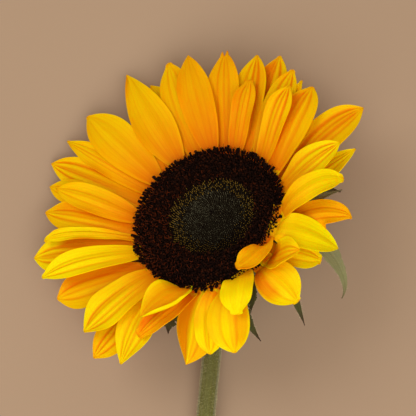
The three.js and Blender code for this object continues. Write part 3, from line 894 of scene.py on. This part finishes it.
def makePetals():
    alongSteps, acrossSteps = petalForm["alongSteps"], petalForm["acrossSteps"]
    blank, rows, columns = gridBlank("petalBlank", alongSteps, acrossSteps)
    plans = []
    for number, petal in enumerate(petals, 1):
        form = {**petalForm, **petalRows[petal["row"]], **petal}
        plans.append((number, form, *petalGrid(form, number)))
    # the petal whose middle lies highest comes first
    plans.sort(key=lambda plan: -plan[2][plan[2].shape[0] // 2, plan[2].shape[1] // 2, 2])
    faces = gridFaces(alongSteps + 1, acrossSteps + 1)
    uppers = []
    for number, form, grid, creased, highlightAndPaleBack in plans:
        grid = pressUnder(grid, uppers)
        points = grid.reshape(-1, 3)
        uppers.append((BVHTree.FromPolygons(points.tolist(), faces), points.min(0), points.max(0)))
        piece = copyOf(blank, f"petal{number:02d}")
        writePoints(piece.data, grid[rows, columns])
        # the points carry their painted shade and pleat stripes as "crease", and their painted highlight with
        # a rolled edge's paler back as "ridge"
        for mark, values in (("crease", creased), ("ridge", highlightAndPaleBack)):
            attribute = piece.data.attributes.new(mark, "FLOAT", "POINT")
            attribute.data.foreach_set("value", values[rows, columns])
        applyModifier(piece, "SOLIDIFY", thickness=form["thickness"], offset=0)
        faceOutwards(piece)
        finishPiece(piece, headPlace, finish[form["tone"]], [f"petal_{number:02d}"])
    drop(blank)


print("petals")
makePetals()


# The disc: a dark bed, with florets on one spiral from its middle to its rim

discForm = {
    "profile": [(0, 1.6), (20, 2.7), (24, 3.2), (30, 3.2), (33.6, 2.0), (35, 0.3)],
    "bedDrop": 1.7,          # the bed lies this far under the profile
    "bedSides": 96,
    "bedCuts": 11,
    "bedRadii": (0, 8, 16, 22, 28, 31.5),
    "bedRim": [(33.4, -0.6), (30.8, -0.9), (30.7, -4.9), (20, -4.95), (0, -5)],
    "spiralRadius": 34.6,
    "florets": 4300,
    "growth": 0.6,           # how the spacing opens outwards
    "goldenAngle": 137.508,
    "sunk": 0.1,             # how deep a floret stands in the bed
    "sizes": (0.85, 1.15),
    "buttonAside": 2.3,      # the button of closed buds lies this far off the middle
    "buttonSquash": 1.09,
    "buttonEdge": 19.8,      # closed buds inside, open florets outside
    "edgeSpread": 0.45,      # how ragged the button's edge is
}


def discTop(radius):
    radii, heights = zip(*discForm["profile"])
    return float(np.interp(radius, radii, heights))


def makeBed():
    outline = [(radius, discTop(radius) - discForm["bedDrop"]) for radius in discForm["bedRadii"]]
    outline += discForm["bedRim"]
    bed = turnedBody("discBed", discForm["bedSides"], discForm["bedCuts"], outline[::-1])
    finishPiece(bed, headPlace, finish["bed"], ["disc_ring", "disc_centre"])


def coneBlank(name, sides, radius, tipRadius, length, bulge=1.0):
    # A small body that stands on its root at the origin, and is fuller by the bulge a little over half way up
    deselectAll()
    bpy.ops.mesh.primitive_cone_add(vertices=sides, radius1=radius, radius2=tipRadius, depth=length,
                                    end_fill_type="NOTHING" if tipRadius == 0 else "NGON",
                                    location=(0, 0, length / 2))
    blank = bpy.context.object
    blank.name = name
    bpy.ops.object.transform_apply(location=True, rotation=True, scale=True)
    if bulge != 1.0:
        fullest = length * 0.55
        editAll(blank)
        bpy.ops.mesh.bisect(plane_co=(0, 0, fullest), plane_no=(0, 0, 1))
        leaveEdit()
        points = readPoints(blank.data)
        points[np.abs(points[:, 2] - fullest) < length * 0.02, :2] *= bulge
        writePoints(blank.data, points)
    return blank


armForm = {"radius": 0.14, "tipRadius": 0.03, "length": 1.5, "curl": 0.42, "curlPower": 1.6, "settle": 0.85}


def styleArmsBlank():
    # The two curled arms of an open floret's style, standing out of its tube
    arms = []
    for turn in (0, math.pi):
        arm = coneBlank("styleArm", 3, armForm["radius"], armForm["tipRadius"], armForm["length"])
        editAll(arm)
        bpy.ops.mesh.bisect(plane_co=(0, 0, armForm["length"] / 2), plane_no=(0, 0, 1))
        leaveEdit()
        points = readPoints(arm.data)
        points[:, 0] += armForm["curl"] * points[:, 2] ** armForm["curlPower"]
        points[:, 2] *= armForm["settle"]
        writePoints(arm.data, points)
        arm.data.transform(Matrix.Rotation(turn, 4, "Z"))
        arms.append(arm)
    return joinPieces(arms, "styleArms")


def floretPlace(foot, clock, lean, twirl, size, stretch=1.0):
    return (Matrix.Translation(foot) @ Matrix.Rotation(math.radians(clock), 4, "Z")
            @ Matrix.Rotation(math.radians(lean), 4, "Y") @ Matrix.Rotation(twirl, 4, "Z")
            @ Matrix.Diagonal((size, size, size * stretch, 1)))


budForm = {
    "blank": (5, 0.36, 0.12, 1.2, 1.15),       # sides, radius, tip radius, length, bulge
    "speckBlank": (4, 0.17, 0, 0.3),
    "pointBlank": (4, 0.12, 0.05, 0.7, 1.25),
    "lean": (-6, 1.3, 6),    # degrees at the middle, degrees more per millimetre, and spread
    "size": (0.7, 0.017),    # at the middle, and more per millimetre
    "top": 1.22,             # where a speck or a point stands on it
    "litSide": 130,          # buds on this side are paler
    "greyShare": (0.08, 0.3),
    "darkShare": (0.54, 0.055, 0.14),   # at the middle, less per millimetre, less on the lit side
    "darkFrom": 11,          # and more of them from here to the button's edge
    "darkTo": 19,
    "eyeAt": (1.6, 3.6),     # all the buds round here are dark
    "eyeRadius": 1.5,
    "pointFrom": 12.6,       # more and more buds show a point from here on
    "pointTo": 15.6,
    "pointBend": (14, 24),
    "pointSizes": (0.85, 1.1),
    "oliveShare": 0.7,
    "speckShare": 0.75,
    "paleShare": (0.36, 0.28),
}


def gather(groups, kind, tone, place):
    groups.setdefault((kind, tone), []).append(place)


def placeBud(groups, wild, foot, clock, radius, inner, twirl, size):
    leftLit = onSide(clock, budForm["litSide"])
    start, growth, spread = budForm["lean"]
    lean = start + growth * radius + wild.gauss(0, spread)
    greyShare, greyLit = budForm["greyShare"]
    tone = "budGrey" if wild.random() < greyShare + greyLit * leftLit else "budGreen"
    darkShare, darkFade, darkLit = budForm["darkShare"]
    towardsEdge = (inner - budForm["darkFrom"]) / (budForm["darkTo"] - budForm["darkFrom"])
    if wild.random() < darkShare - darkFade * inner - darkLit * leftLit or wild.random() < towardsEdge:
        tone = "budDark"
    if math.hypot(foot.x - budForm["eyeAt"][0], foot.y - budForm["eyeAt"][1]) < budForm["eyeRadius"]:
        tone = "budDark"
    size *= budForm["size"][0] + budForm["size"][1] * radius
    place = floretPlace(foot, clock, lean, twirl, size)
    gather(groups, "bud", tone, place)
    top = place @ Vector((0, 0, budForm["top"]))
    if wild.random() < (inner - budForm["pointFrom"]) / (budForm["pointTo"] - budForm["pointFrom"]):
        bent = lean + wild.uniform(*budForm["pointBend"])
        far = floretPlace(top, clock, bent, twirl, size * wild.uniform(*budForm["pointSizes"]))
        tone = "budTip" if wild.random() < budForm["oliveShare"] else "budDark"
        gather(groups, "budPoint", tone, far)
    elif wild.random() < budForm["speckShare"]:
        paleShare, paleLit = budForm["paleShare"]
        tone = "budPale" if wild.random() < paleShare + paleLit * leftLit else "budGrey"
        gather(groups, "budSpeck", tone, floretPlace(top, clock, lean, twirl, size))


openForm = {
    "tubeBlank": (5, 0.3, 0.44, 1.6),
    "leanFrom": 30.5,        # florets lean outwards more and more from here to the rim
    "lean": (4, 50, 9),      # degrees inside that, degrees more at the rim, and spread
    "strewn": (0.12, 0.12, 0.2),
    "stretch": (0.85, 1.2),
    "blackShare": 0.8,
    "redSide": 200,          # florets on this side have more red and brown arms
    "redShare": (0.04, 0.38),
    "brownShare": (0.36, 0.3),
    "armsShare": 0.85,
    "armsAt": 1.2,
    "armsLean": 14,
    "armsTwirl": 0.7,
    "armsSizes": (0.8, 1.15),
}


def placeOpenFloret(groups, wild, foot, clock, radius, twirl, size):
    start, growth, spread = openForm["lean"]
    lean = start + growth * max(0, (radius - openForm["leanFrom"]) / 4) ** 1.5 + wild.gauss(0, spread)
    foot = foot + Vector([wild.gauss(0, strewn) for strewn in openForm["strewn"]])
    place = floretPlace(foot, clock, lean, twirl, size, wild.uniform(*openForm["stretch"]))
    tone = "floretBlack" if wild.random() < openForm["blackShare"] else "floretBrown"
    gather(groups, "tube", tone, place)
    redSide = onSide(clock, openForm["redSide"])
    redShare, redMore = openForm["redShare"]
    brownShare, brownMore = openForm["brownShare"]
    pull = wild.random()
    tone = "floretBrown" if pull < brownShare + brownMore * redSide else "floretBlack"
    if pull < redShare + redMore * redSide**2:
        tone = "floretRed"
    if wild.random() < openForm["armsShare"]:
        top = place @ Vector((0, 0, openForm["armsAt"]))
        lean += wild.gauss(0, openForm["armsLean"])
        twirl = wild.gauss(0, openForm["armsTwirl"])
        arms = floretPlace(top, clock, lean, twirl, size * wild.uniform(*openForm["armsSizes"]))
        gather(groups, "arms", tone, arms)


rimForm = {
    "florets": 210,
    "strewn": 0.9,
    "radii": (32.7, 34.4),
    "heights": (-0.5, 1.4),
    "lean": (64, 14),
    "aside": 12,
    "knobShare": 0.45,       # stout ones that have not opened their arms
    "knobSizes": (1.2, 1.7),
    "openSizes": (0.75, 1.3),
    "stretch": 1.1,
    "bare": ((20, 4), (25, 6)),   # petals that come over the rim, and degrees to each side with no florets
    "standBack": 1.6,        # times a petal's inset
    "clearWithin": 9,        # degrees from such a petal's claw, in full
    "clearBeyond": 13,       # and not at all from here on
}


def standBack(clock):
    # How far the florets stand back from the claws that come in over the ring
    steps = []
    for petal in petals:
        aside = abs((clock - petal["at"] + 180) % 360 - 180)
        near = 1 - ramp(aside, rimForm["clearWithin"], rimForm["clearBeyond"])
        steps.append(rimForm["standBack"] * petal.get("inset", 0) * near)
    return max(steps)


def placeRimFloret(groups, wild, number):
    clock = 360 * number / rimForm["florets"] + wild.gauss(0, rimForm["strewn"])
    if any(abs(clock - petals[petal - 1]["at"]) < degrees for petal, degrees in rimForm["bare"]):
        return
    foot = polar(clock, wild.uniform(*rimForm["radii"]) - standBack(clock), wild.uniform(*rimForm["heights"]))
    lean = wild.gauss(*rimForm["lean"])
    knob = wild.random() < rimForm["knobShare"]
    size = wild.uniform(*rimForm["knobSizes"]) if knob else wild.uniform(*rimForm["openSizes"])
    aside = clock + wild.gauss(0, rimForm["aside"])
    place = floretPlace(foot, aside, lean, wild.uniform(0, 6.3), size, rimForm["stretch"])
    gather(groups, "tube", "floretBlack", place)
    if not knob:
        top = place @ Vector((0, 0, openForm["armsAt"]))
        lean += wild.gauss(0, openForm["armsLean"])
        arms = floretPlace(top, aside, lean, wild.uniform(0, 6.3), size * rimForm["stretch"])
        gather(groups, "arms", "floretBlack", arms)


def makeFlorets():
    wild = random.Random(41)
    blanks = {
        "bud": coneBlank("bud", *budForm["blank"]),
        "budSpeck": coneBlank("budSpeck", *budForm["speckBlank"]),
        "budPoint": coneBlank("budPoint", *budForm["pointBlank"]),
        "tube": coneBlank("openTube", *openForm["tubeBlank"]),
        "arms": styleArmsBlank(),
    }
    groups = {}
    for i in range(discForm["florets"]):
        radius = discForm["spiralRadius"] * ((i + 0.5) / discForm["florets"]) ** discForm["growth"]
        clock = discForm["goldenAngle"] * i
        edge = wild.gauss(0, discForm["edgeSpread"])
        foot = polar(clock, radius, discTop(radius) - discForm["bedDrop"] - discForm["sunk"])
        twirl = wild.uniform(0, 6.3)
        size = wild.uniform(*discForm["sizes"])
        inner = math.hypot(foot.x - discForm["buttonAside"], foot.y * discForm["buttonSquash"]) + edge
        if inner < discForm["buttonEdge"]:
            placeBud(groups, wild, foot, clock, radius, inner, twirl, size)
        elif radius <= discForm["spiralRadius"] - standBack(clock):
            placeOpenFloret(groups, wild, foot, clock, radius, twirl, size)
    # the outermost rows hang out over the petals' claws
    for number in range(rimForm["florets"]):
        placeRimFloret(groups, wild, number)
    for (kind, tone), places in groups.items():
        piece = scatter(blanks[kind], f"{kind}_{tone}", places)
        finishPiece(piece, headPlace, finish[tone], smoothBelow=35)
    for blank in blanks.values():
        drop(blank)


print("disc")
makeBed()
makeFlorets()


# The base of the head, and its bracts

baseForm = {
    "sides": 72,
    "cuts": 15,
    "topRadius": 33,
    "depth": 24,
    "neckRadius": 5.6,
    "top": -5.2,
    "edge": 1.5,             # how thick its top edge is
    "profile": [(0.23, 2.5), (0.5, 5), (0.78, 9), (0.95, 14)],   # shares of the top radius, heights
}
bractForm = {
    "rootRadius": 27,
    "rootHeight": -11,
    "thickness": 0.5,
    "wide": 12,
    "root": 0.6,             # how wide its root is, as a share of its width
    "widestAt": 0.3,
    "drawnFrom": 0.55,       # drawn out to a long fine tip from here on
    "drawn": 0.45,
    "cup": 0.25,
    "pleat": 0.12,
    "lift": -4,
    "droop": 62,
    "reins": 0.4,
    "reach": 56,
    "rise": -36,
    "sway": 0,
    "alongSteps": 46,
    "acrossSteps": 12,
    "teeth": 0.16,           # how ragged its margin is
    "tone": "bract",
    "hairs": 120,
    "hairLength": 1.1,
    "hairRadius": 0.03,
    "hairSpread": 0.35,
    "groundGap": 0.5,        # a bract's tip stays this far over the ground
}
bracts = [
    dict(at=6, to=13, reach=59, rise=-12, droop=12, wide=6, tone="bractPale", teeth=0.3),
    dict(at=26, to=28), dict(at=42, to=44), dict(at=58, to=60), dict(at=74, to=74), dict(at=90, to=88),
    dict(at=107, to=107), dict(at=124, to=122), dict(at=140, to=141), dict(at=156, to=158),
    dict(at=173, to=173), dict(at=190, to=192),
    dict(at=207, to=209, reach=52),
    dict(at=224, to=225, reach=46),
    dict(at=244, to=236.7, reach=48.6, rise=-27, wide=15, teeth=0.3),
    dict(at=257, to=256, reach=44, rise=-28),
    dict(at=275, to=272, reach=44, rise=-28),
    dict(at=290, to=288.6, reach=49, rise=-32, wide=7, sway=-12),
    dict(at=306, to=289.9, reach=37, rise=-26, wide=8, sway=20),
    dict(at=321, to=311, reach=55.4, rise=-30, wide=6, sway=28),
    dict(at=326, to=322, reach=42, rise=-27, wide=9),
    dict(at=352, to=331, reach=59.2, rise=-34, wide=8.8, sway=84, droop=20, reins=0.35, tone="bractPale"),
    dict(at=342, to=342, reach=41, rise=-28, wide=11), dict(at=356, to=357, reach=44, rise=-28),
    dict(at=12, to=12, reach=44, rise=-28),
]


def groundHeight(clock, radius):
    fall = radius * math.sin(math.radians(head["lean"])) * math.cos(math.radians(clock - head["towards"]))
    return (bractForm["groundGap"] - head["rimHeight"] + fall) / math.cos(math.radians(head["lean"]))


def makeBase():
    depth, topRadius = baseForm["depth"], baseForm["topRadius"]
    outline = [(0, -depth), (baseForm["neckRadius"], -depth)]
    outline += [(share * topRadius, height - depth) for share, height in baseForm["profile"]]
    outline += [(topRadius, baseForm["top"] - baseForm["edge"]), (topRadius, baseForm["top"]),
                (0, baseForm["top"])]
    base = turnedBody("headBase", baseForm["sides"], baseForm["cuts"], outline)
    finishPiece(base, headPlace, finish["base"], ["involucre"])


def bractGrid(form, seed):
    wild = random.Random(seed)
    root = polar(form["at"], form["rootRadius"], form["rootHeight"])
    rise = max(form["rise"], groundHeight(form["to"], form["reach"]))
    blade = Blade(root, polar(form["to"], form["reach"], rise),
                  form["lift"], form["droop"], form["sway"], form["reins"])
    rows = []
    for i in range(form["alongSteps"] + 1):
        share = i / form["alongSteps"]
        middle, forward, side = blade.frame(share)
        up = forward.cross(side)
        swell = bladeSwell(share, form["widestAt"], form["root"])
        drawn = 1 - form["drawn"] * ramp(share, form["drawnFrom"], 1) ** 0.8
        half = max(0.1, form["wide"] / 2 * swell * drawn)
        left, right = (1 + form["teeth"] * wild.uniform(-1, 1) * min(1, half / 3) for _ in range(2))
        row = []
        for j in range(form["acrossSteps"] + 1):
            across = 2 * j / form["acrossSteps"] - 1
            ragged = right if across > 0.99 else left if across < -0.99 else 1
            height = form["cup"] * half * abs(across) - form["pleat"] * math.cos(4 * math.pi * across) * swell
            row.append(middle + side * (across * half * ragged) + up * height)
        rows.append(row)
    return np.array(rows)


def hairPlace(foot, outwards, length, wild, spread):
    aim = outwards + Vector((wild.gauss(0, spread), wild.gauss(0, spread), wild.gauss(0, spread)))
    turn = aim.to_track_quat("Z", "Y").to_matrix().to_4x4()
    return Matrix.Translation(foot) @ turn @ Matrix.Diagonal((1, 1, length, 1))


def makeBracts():
    alongSteps, acrossSteps = bractForm["alongSteps"], bractForm["acrossSteps"]
    blank, rows, columns = gridBlank("bractBlank", alongSteps, acrossSteps)
    pieces, hairs = {}, []
    wild = random.Random(5)
    for number, bract in enumerate(bracts, 1):
        form = {**bractForm, **bract}
        grid = bractGrid(form, 100 + number)
        piece = copyOf(blank, f"bract{number:02d}")
        writePoints(piece.data, grid[rows, columns])
        applyModifier(piece, "SOLIDIFY", thickness=form["thickness"], offset=0)
        faceOutwards(piece)
        pieces.setdefault(form["tone"], []).append(piece)
        for _ in range(form["hairs"]):   # they stand out of its two margins
            i = wild.randrange(3, alongSteps - 2)
            j = wild.choice((0, acrossSteps))
            inner = 1 if j == 0 else acrossSteps - 1
            outwards = Vector(grid[i, j] - grid[i, inner]).normalized()
            length = form["hairLength"] * wild.uniform(0.5, 1.1)
            hairs.append(hairPlace(Vector(grid[i, j]), outwards, length, wild, form["hairSpread"]))
    drop(blank)
    for tone, group in pieces.items():
        finishPiece(joinPieces(group, f"{tone}s"), headPlace, finish[tone])
    hair = coneBlank("bractHair", 3, bractForm["hairRadius"], 0, 1)
    finishPiece(scatter(hair, "bractHairs", hairs), headPlace, finish["hair"])
    drop(hair)


print("bracts")
makeBase()
makeBracts()


# The stem, swept along its curve from behind the head

def stemCurve():
    # The stem's middle line in even steps, and its length
    down = headTurn.to_3x3() @ Vector((0, 0, -1))
    neck = Vector((0, 0, head["rimHeight"])) + down * stemForm["neckDepth"]
    bend, cut = Vector(stemForm["bendEnd"]), Vector(stemForm["cutEnd"])
    pull = stemForm["neckPull"]
    a, b, c, d = neck, neck + down * pull, bend - (cut - bend).normalized() * pull, bend
    samples = 200
    points = []
    for i in range(samples + 1):
        share, rest = i / samples, 1 - i / samples
        points.append(a * rest**3 + b * (3 * rest**2 * share) + c * (3 * rest * share**2) + d * share**3)
    points += [bend.lerp(cut, i / samples) for i in range(1, samples + 1)]
    points = np.array(points)
    reach = np.concatenate([[0], np.cumsum(np.linalg.norm(np.diff(points, axis=0), axis=1))])
    even = np.linspace(0, reach[-1], stemForm["steps"] + 1)
    return np.stack([np.interp(even, reach, points[:, k]) for k in range(3)], 1), reach[-1]


def stemGrid(centre, length, tangent, wild):
    # The stem's surface as an array of points, along by around, and which way is out there
    steps, sides = stemForm["steps"], stemForm["sides"]
    across = np.array([Vector((1, 0, 0)) - Vector(t) * t[0] for t in tangent])
    across /= np.linalg.norm(across, axis=1)[:, None]
    over = np.cross(tangent, across)
    bumps = smoothField(np.array([[wild.gauss(0, 1) for _ in range(sides)] for _ in range(steps + 1)]), 3)
    grid = np.zeros((steps + 1, sides, 3))
    normals = np.zeros((steps + 1, sides, 3))
    for i in range(steps + 1):
        toNeck = max(0.0, 1 - length * i / steps / stemForm["neckLength"])
        radius = stemForm["radius"] + (stemForm["neckRadius"] - stemForm["radius"]) * toNeck**2
        for j in range(sides):
            turn = 2 * math.pi * j / sides
            outwards = across[i] * math.cos(turn) + over[i] * math.sin(turn)
            ridge = stemForm["ridgeDepth"] * (math.cos(stemForm["ridges"] * turn) - 0.6)
            grid[i, j] = centre[i] + outwards * (radius + ridge + stemForm["bumps"] * bumps[i, j])
            normals[i, j] = outwards
    return grid, normals


def makeStemSkin(grid):
    steps, sides = stemForm["steps"], stemForm["sides"]
    stem, rows, columns = gridBlank("stemSkin", steps, sides)
    writePoints(stem.data, grid[rows, columns % sides])
    editAll(stem)
    bpy.ops.mesh.remove_doubles(threshold=mergeWithin)
    bpy.ops.mesh.select_all(action="DESELECT")
    bpy.ops.mesh.select_non_manifold(extend=False)   # the two open ends
    bpy.ops.mesh.edge_face_add()
    leaveEdit()
    faceOutwards(stem)
    finishPiece(stem, groundPlace, finish["stem"], ["stem"])


def makePith(cut, aim):
    # The cut face: pith inside the stem's green rim
    deselectAll()
    bpy.ops.mesh.primitive_circle_add(vertices=48, radius=stemForm["pithRadius"], fill_type="NGON")
    pith = bpy.context.object
    pith.name = "cutPith"
    pith.data.name = "cutPith"
    editAll(pith)
    for inwards, depth in stemForm["pithRings"]:
        bpy.ops.mesh.inset(thickness=inwards, depth=depth)
    leaveEdit()
    turn = aim.to_track_quat("Z", "Y").to_matrix().to_4x4()
    pith.data.transform(Matrix.Translation(cut + aim * stemForm["pithProud"]) @ turn)
    applyModifier(pith, "SOLIDIFY", thickness=stemForm["pithThickness"], offset=-1)
    faceOutwards(pith)
    finishPiece(pith, groundPlace, finish["pith"])


def makeStem():
    wild = random.Random(11)
    centre, length = stemCurve()
    tangent = np.gradient(centre, axis=0)
    tangent /= np.linalg.norm(tangent, axis=1)[:, None]
    grid, normals = stemGrid(centre, length, tangent, wild)
    makeStemSkin(grid)
    makePith(Vector(centre[-1]), Vector(tangent[-1]))
    hairs = []
    for _ in range(stemForm["hairs"]):
        i, j = wild.randrange(2, stemForm["steps"] - 1), wild.randrange(stemForm["sides"])
        outwards = Vector(normals[i, j])
        foot = Vector(grid[i, j]) - outwards * stemForm["hairSunk"]
        length = stemForm["hairLength"] * wild.uniform(0.4, 1.15)
        if foot.z + outwards.z * length > 0.1:   # none into the ground
            hairs.append(hairPlace(foot, outwards, length, wild, stemForm["hairSpread"]))
    hair = coneBlank("stemHair", 3, stemForm["hairRadius"], 0, 1)
    finishPiece(scatter(hair, "stemHairs", hairs), groundPlace, finish["hair"])
    drop(hair)


print("stem")
makeStem()


# Floor, lights and camera

stageForm = {
    "floorSize": 6.0,
    "floorColour": (0.425, 0.294, 0.193),
    "keyFrom": (-0.75, 0.35, 1.2),
    "keyDistance": 1.3,
    "keySize": 0.8,
    "keyPower": 5.6,
    "fillFrom": (0.15, -0.8, 1.2),
    "fillDistance": 1.5,
    "fillSize": 1.6,
    "fillPower": 17,
    "worldColour": (1, 0.84, 0.68, 1),
    "worldLight": 0.4,
}
cameraForm = {
    "elevation": 80,
    "distance": 0.750,
    "frameSize": 0.1835,     # width of the view at the head's middle
    "pixels": 416,
    "headColumn": 208.5,     # where the middle of the disc's rim shows
    "headRow": 219.0,
    "sensor": 36,
}


def makeFloor():
    deselectAll()
    bpy.ops.mesh.primitive_plane_add(size=stageForm["floorSize"], location=(0, 0, 0))
    floor = bpy.context.object
    floor.name = "floor"
    material, tree, shader = newFinish("floorPaper", 0.9, specular=0.2)
    grain = placeGroup(tree, grainGroup, Scale=500.0, Coarse_Scale=4.0)
    colour = stageForm["floorColour"]
    darker = tuple(c * 0.9 for c in colour)
    tree.links.new(mixNode(tree, grain.outputs["Coarse"], colour, darker), shader.inputs["Base Color"])
    floor.data.materials.append(material)


def addSoftbox(name, fromPoint, distance, size, power):
    bpy.ops.object.light_add(type="AREA")
    light = bpy.context.object
    light.name = name
    light.data.shape = "DISK"
    light.data.size = size
    light.data.energy = power
    direction = Vector(fromPoint).normalized()
    light.location = headCentre + direction * distance
    light.rotation_euler = direction.to_track_quat("Z", "Y").to_euler()


def makeCamera():
    bpy.ops.object.camera_add()
    camera = bpy.context.object
    camera.name = "camera"
    rise = math.radians(cameraForm["elevation"])
    toward = Vector((0, -math.cos(rise), math.sin(rise)))
    camera.location = headCentre + toward * cameraForm["distance"]
    camera.rotation_euler = (math.pi / 2 - rise, 0, 0)
    camera.data.sensor_width = cameraForm["sensor"]
    camera.data.lens = cameraForm["sensor"] * cameraForm["distance"] / cameraForm["frameSize"]
    half = cameraForm["pixels"] / 2
    camera.data.shift_x = (half - cameraForm["headColumn"]) / cameraForm["pixels"]
    camera.data.shift_y = (cameraForm["headRow"] - half) / cameraForm["pixels"]
    bpy.context.scene.camera = camera


def makeWorld():
    world = bpy.data.worlds.new("studio")
    world.use_nodes = True
    background = world.node_tree.nodes["Background"]
    background.inputs[0].default_value = stageForm["worldColour"]
    background.inputs[1].default_value = stageForm["worldLight"]
    bpy.context.scene.world = world
    bpy.context.scene.view_settings.view_transform = "Standard"   # keeps the petals' strong yellow


print("stage")
makeFloor()
for lamp in ("key", "fill"):
    addSoftbox(f"{lamp}Light", *(stageForm[lamp + part] for part in ("From", "Distance", "Size", "Power")))
makeWorld()
makeCamera()
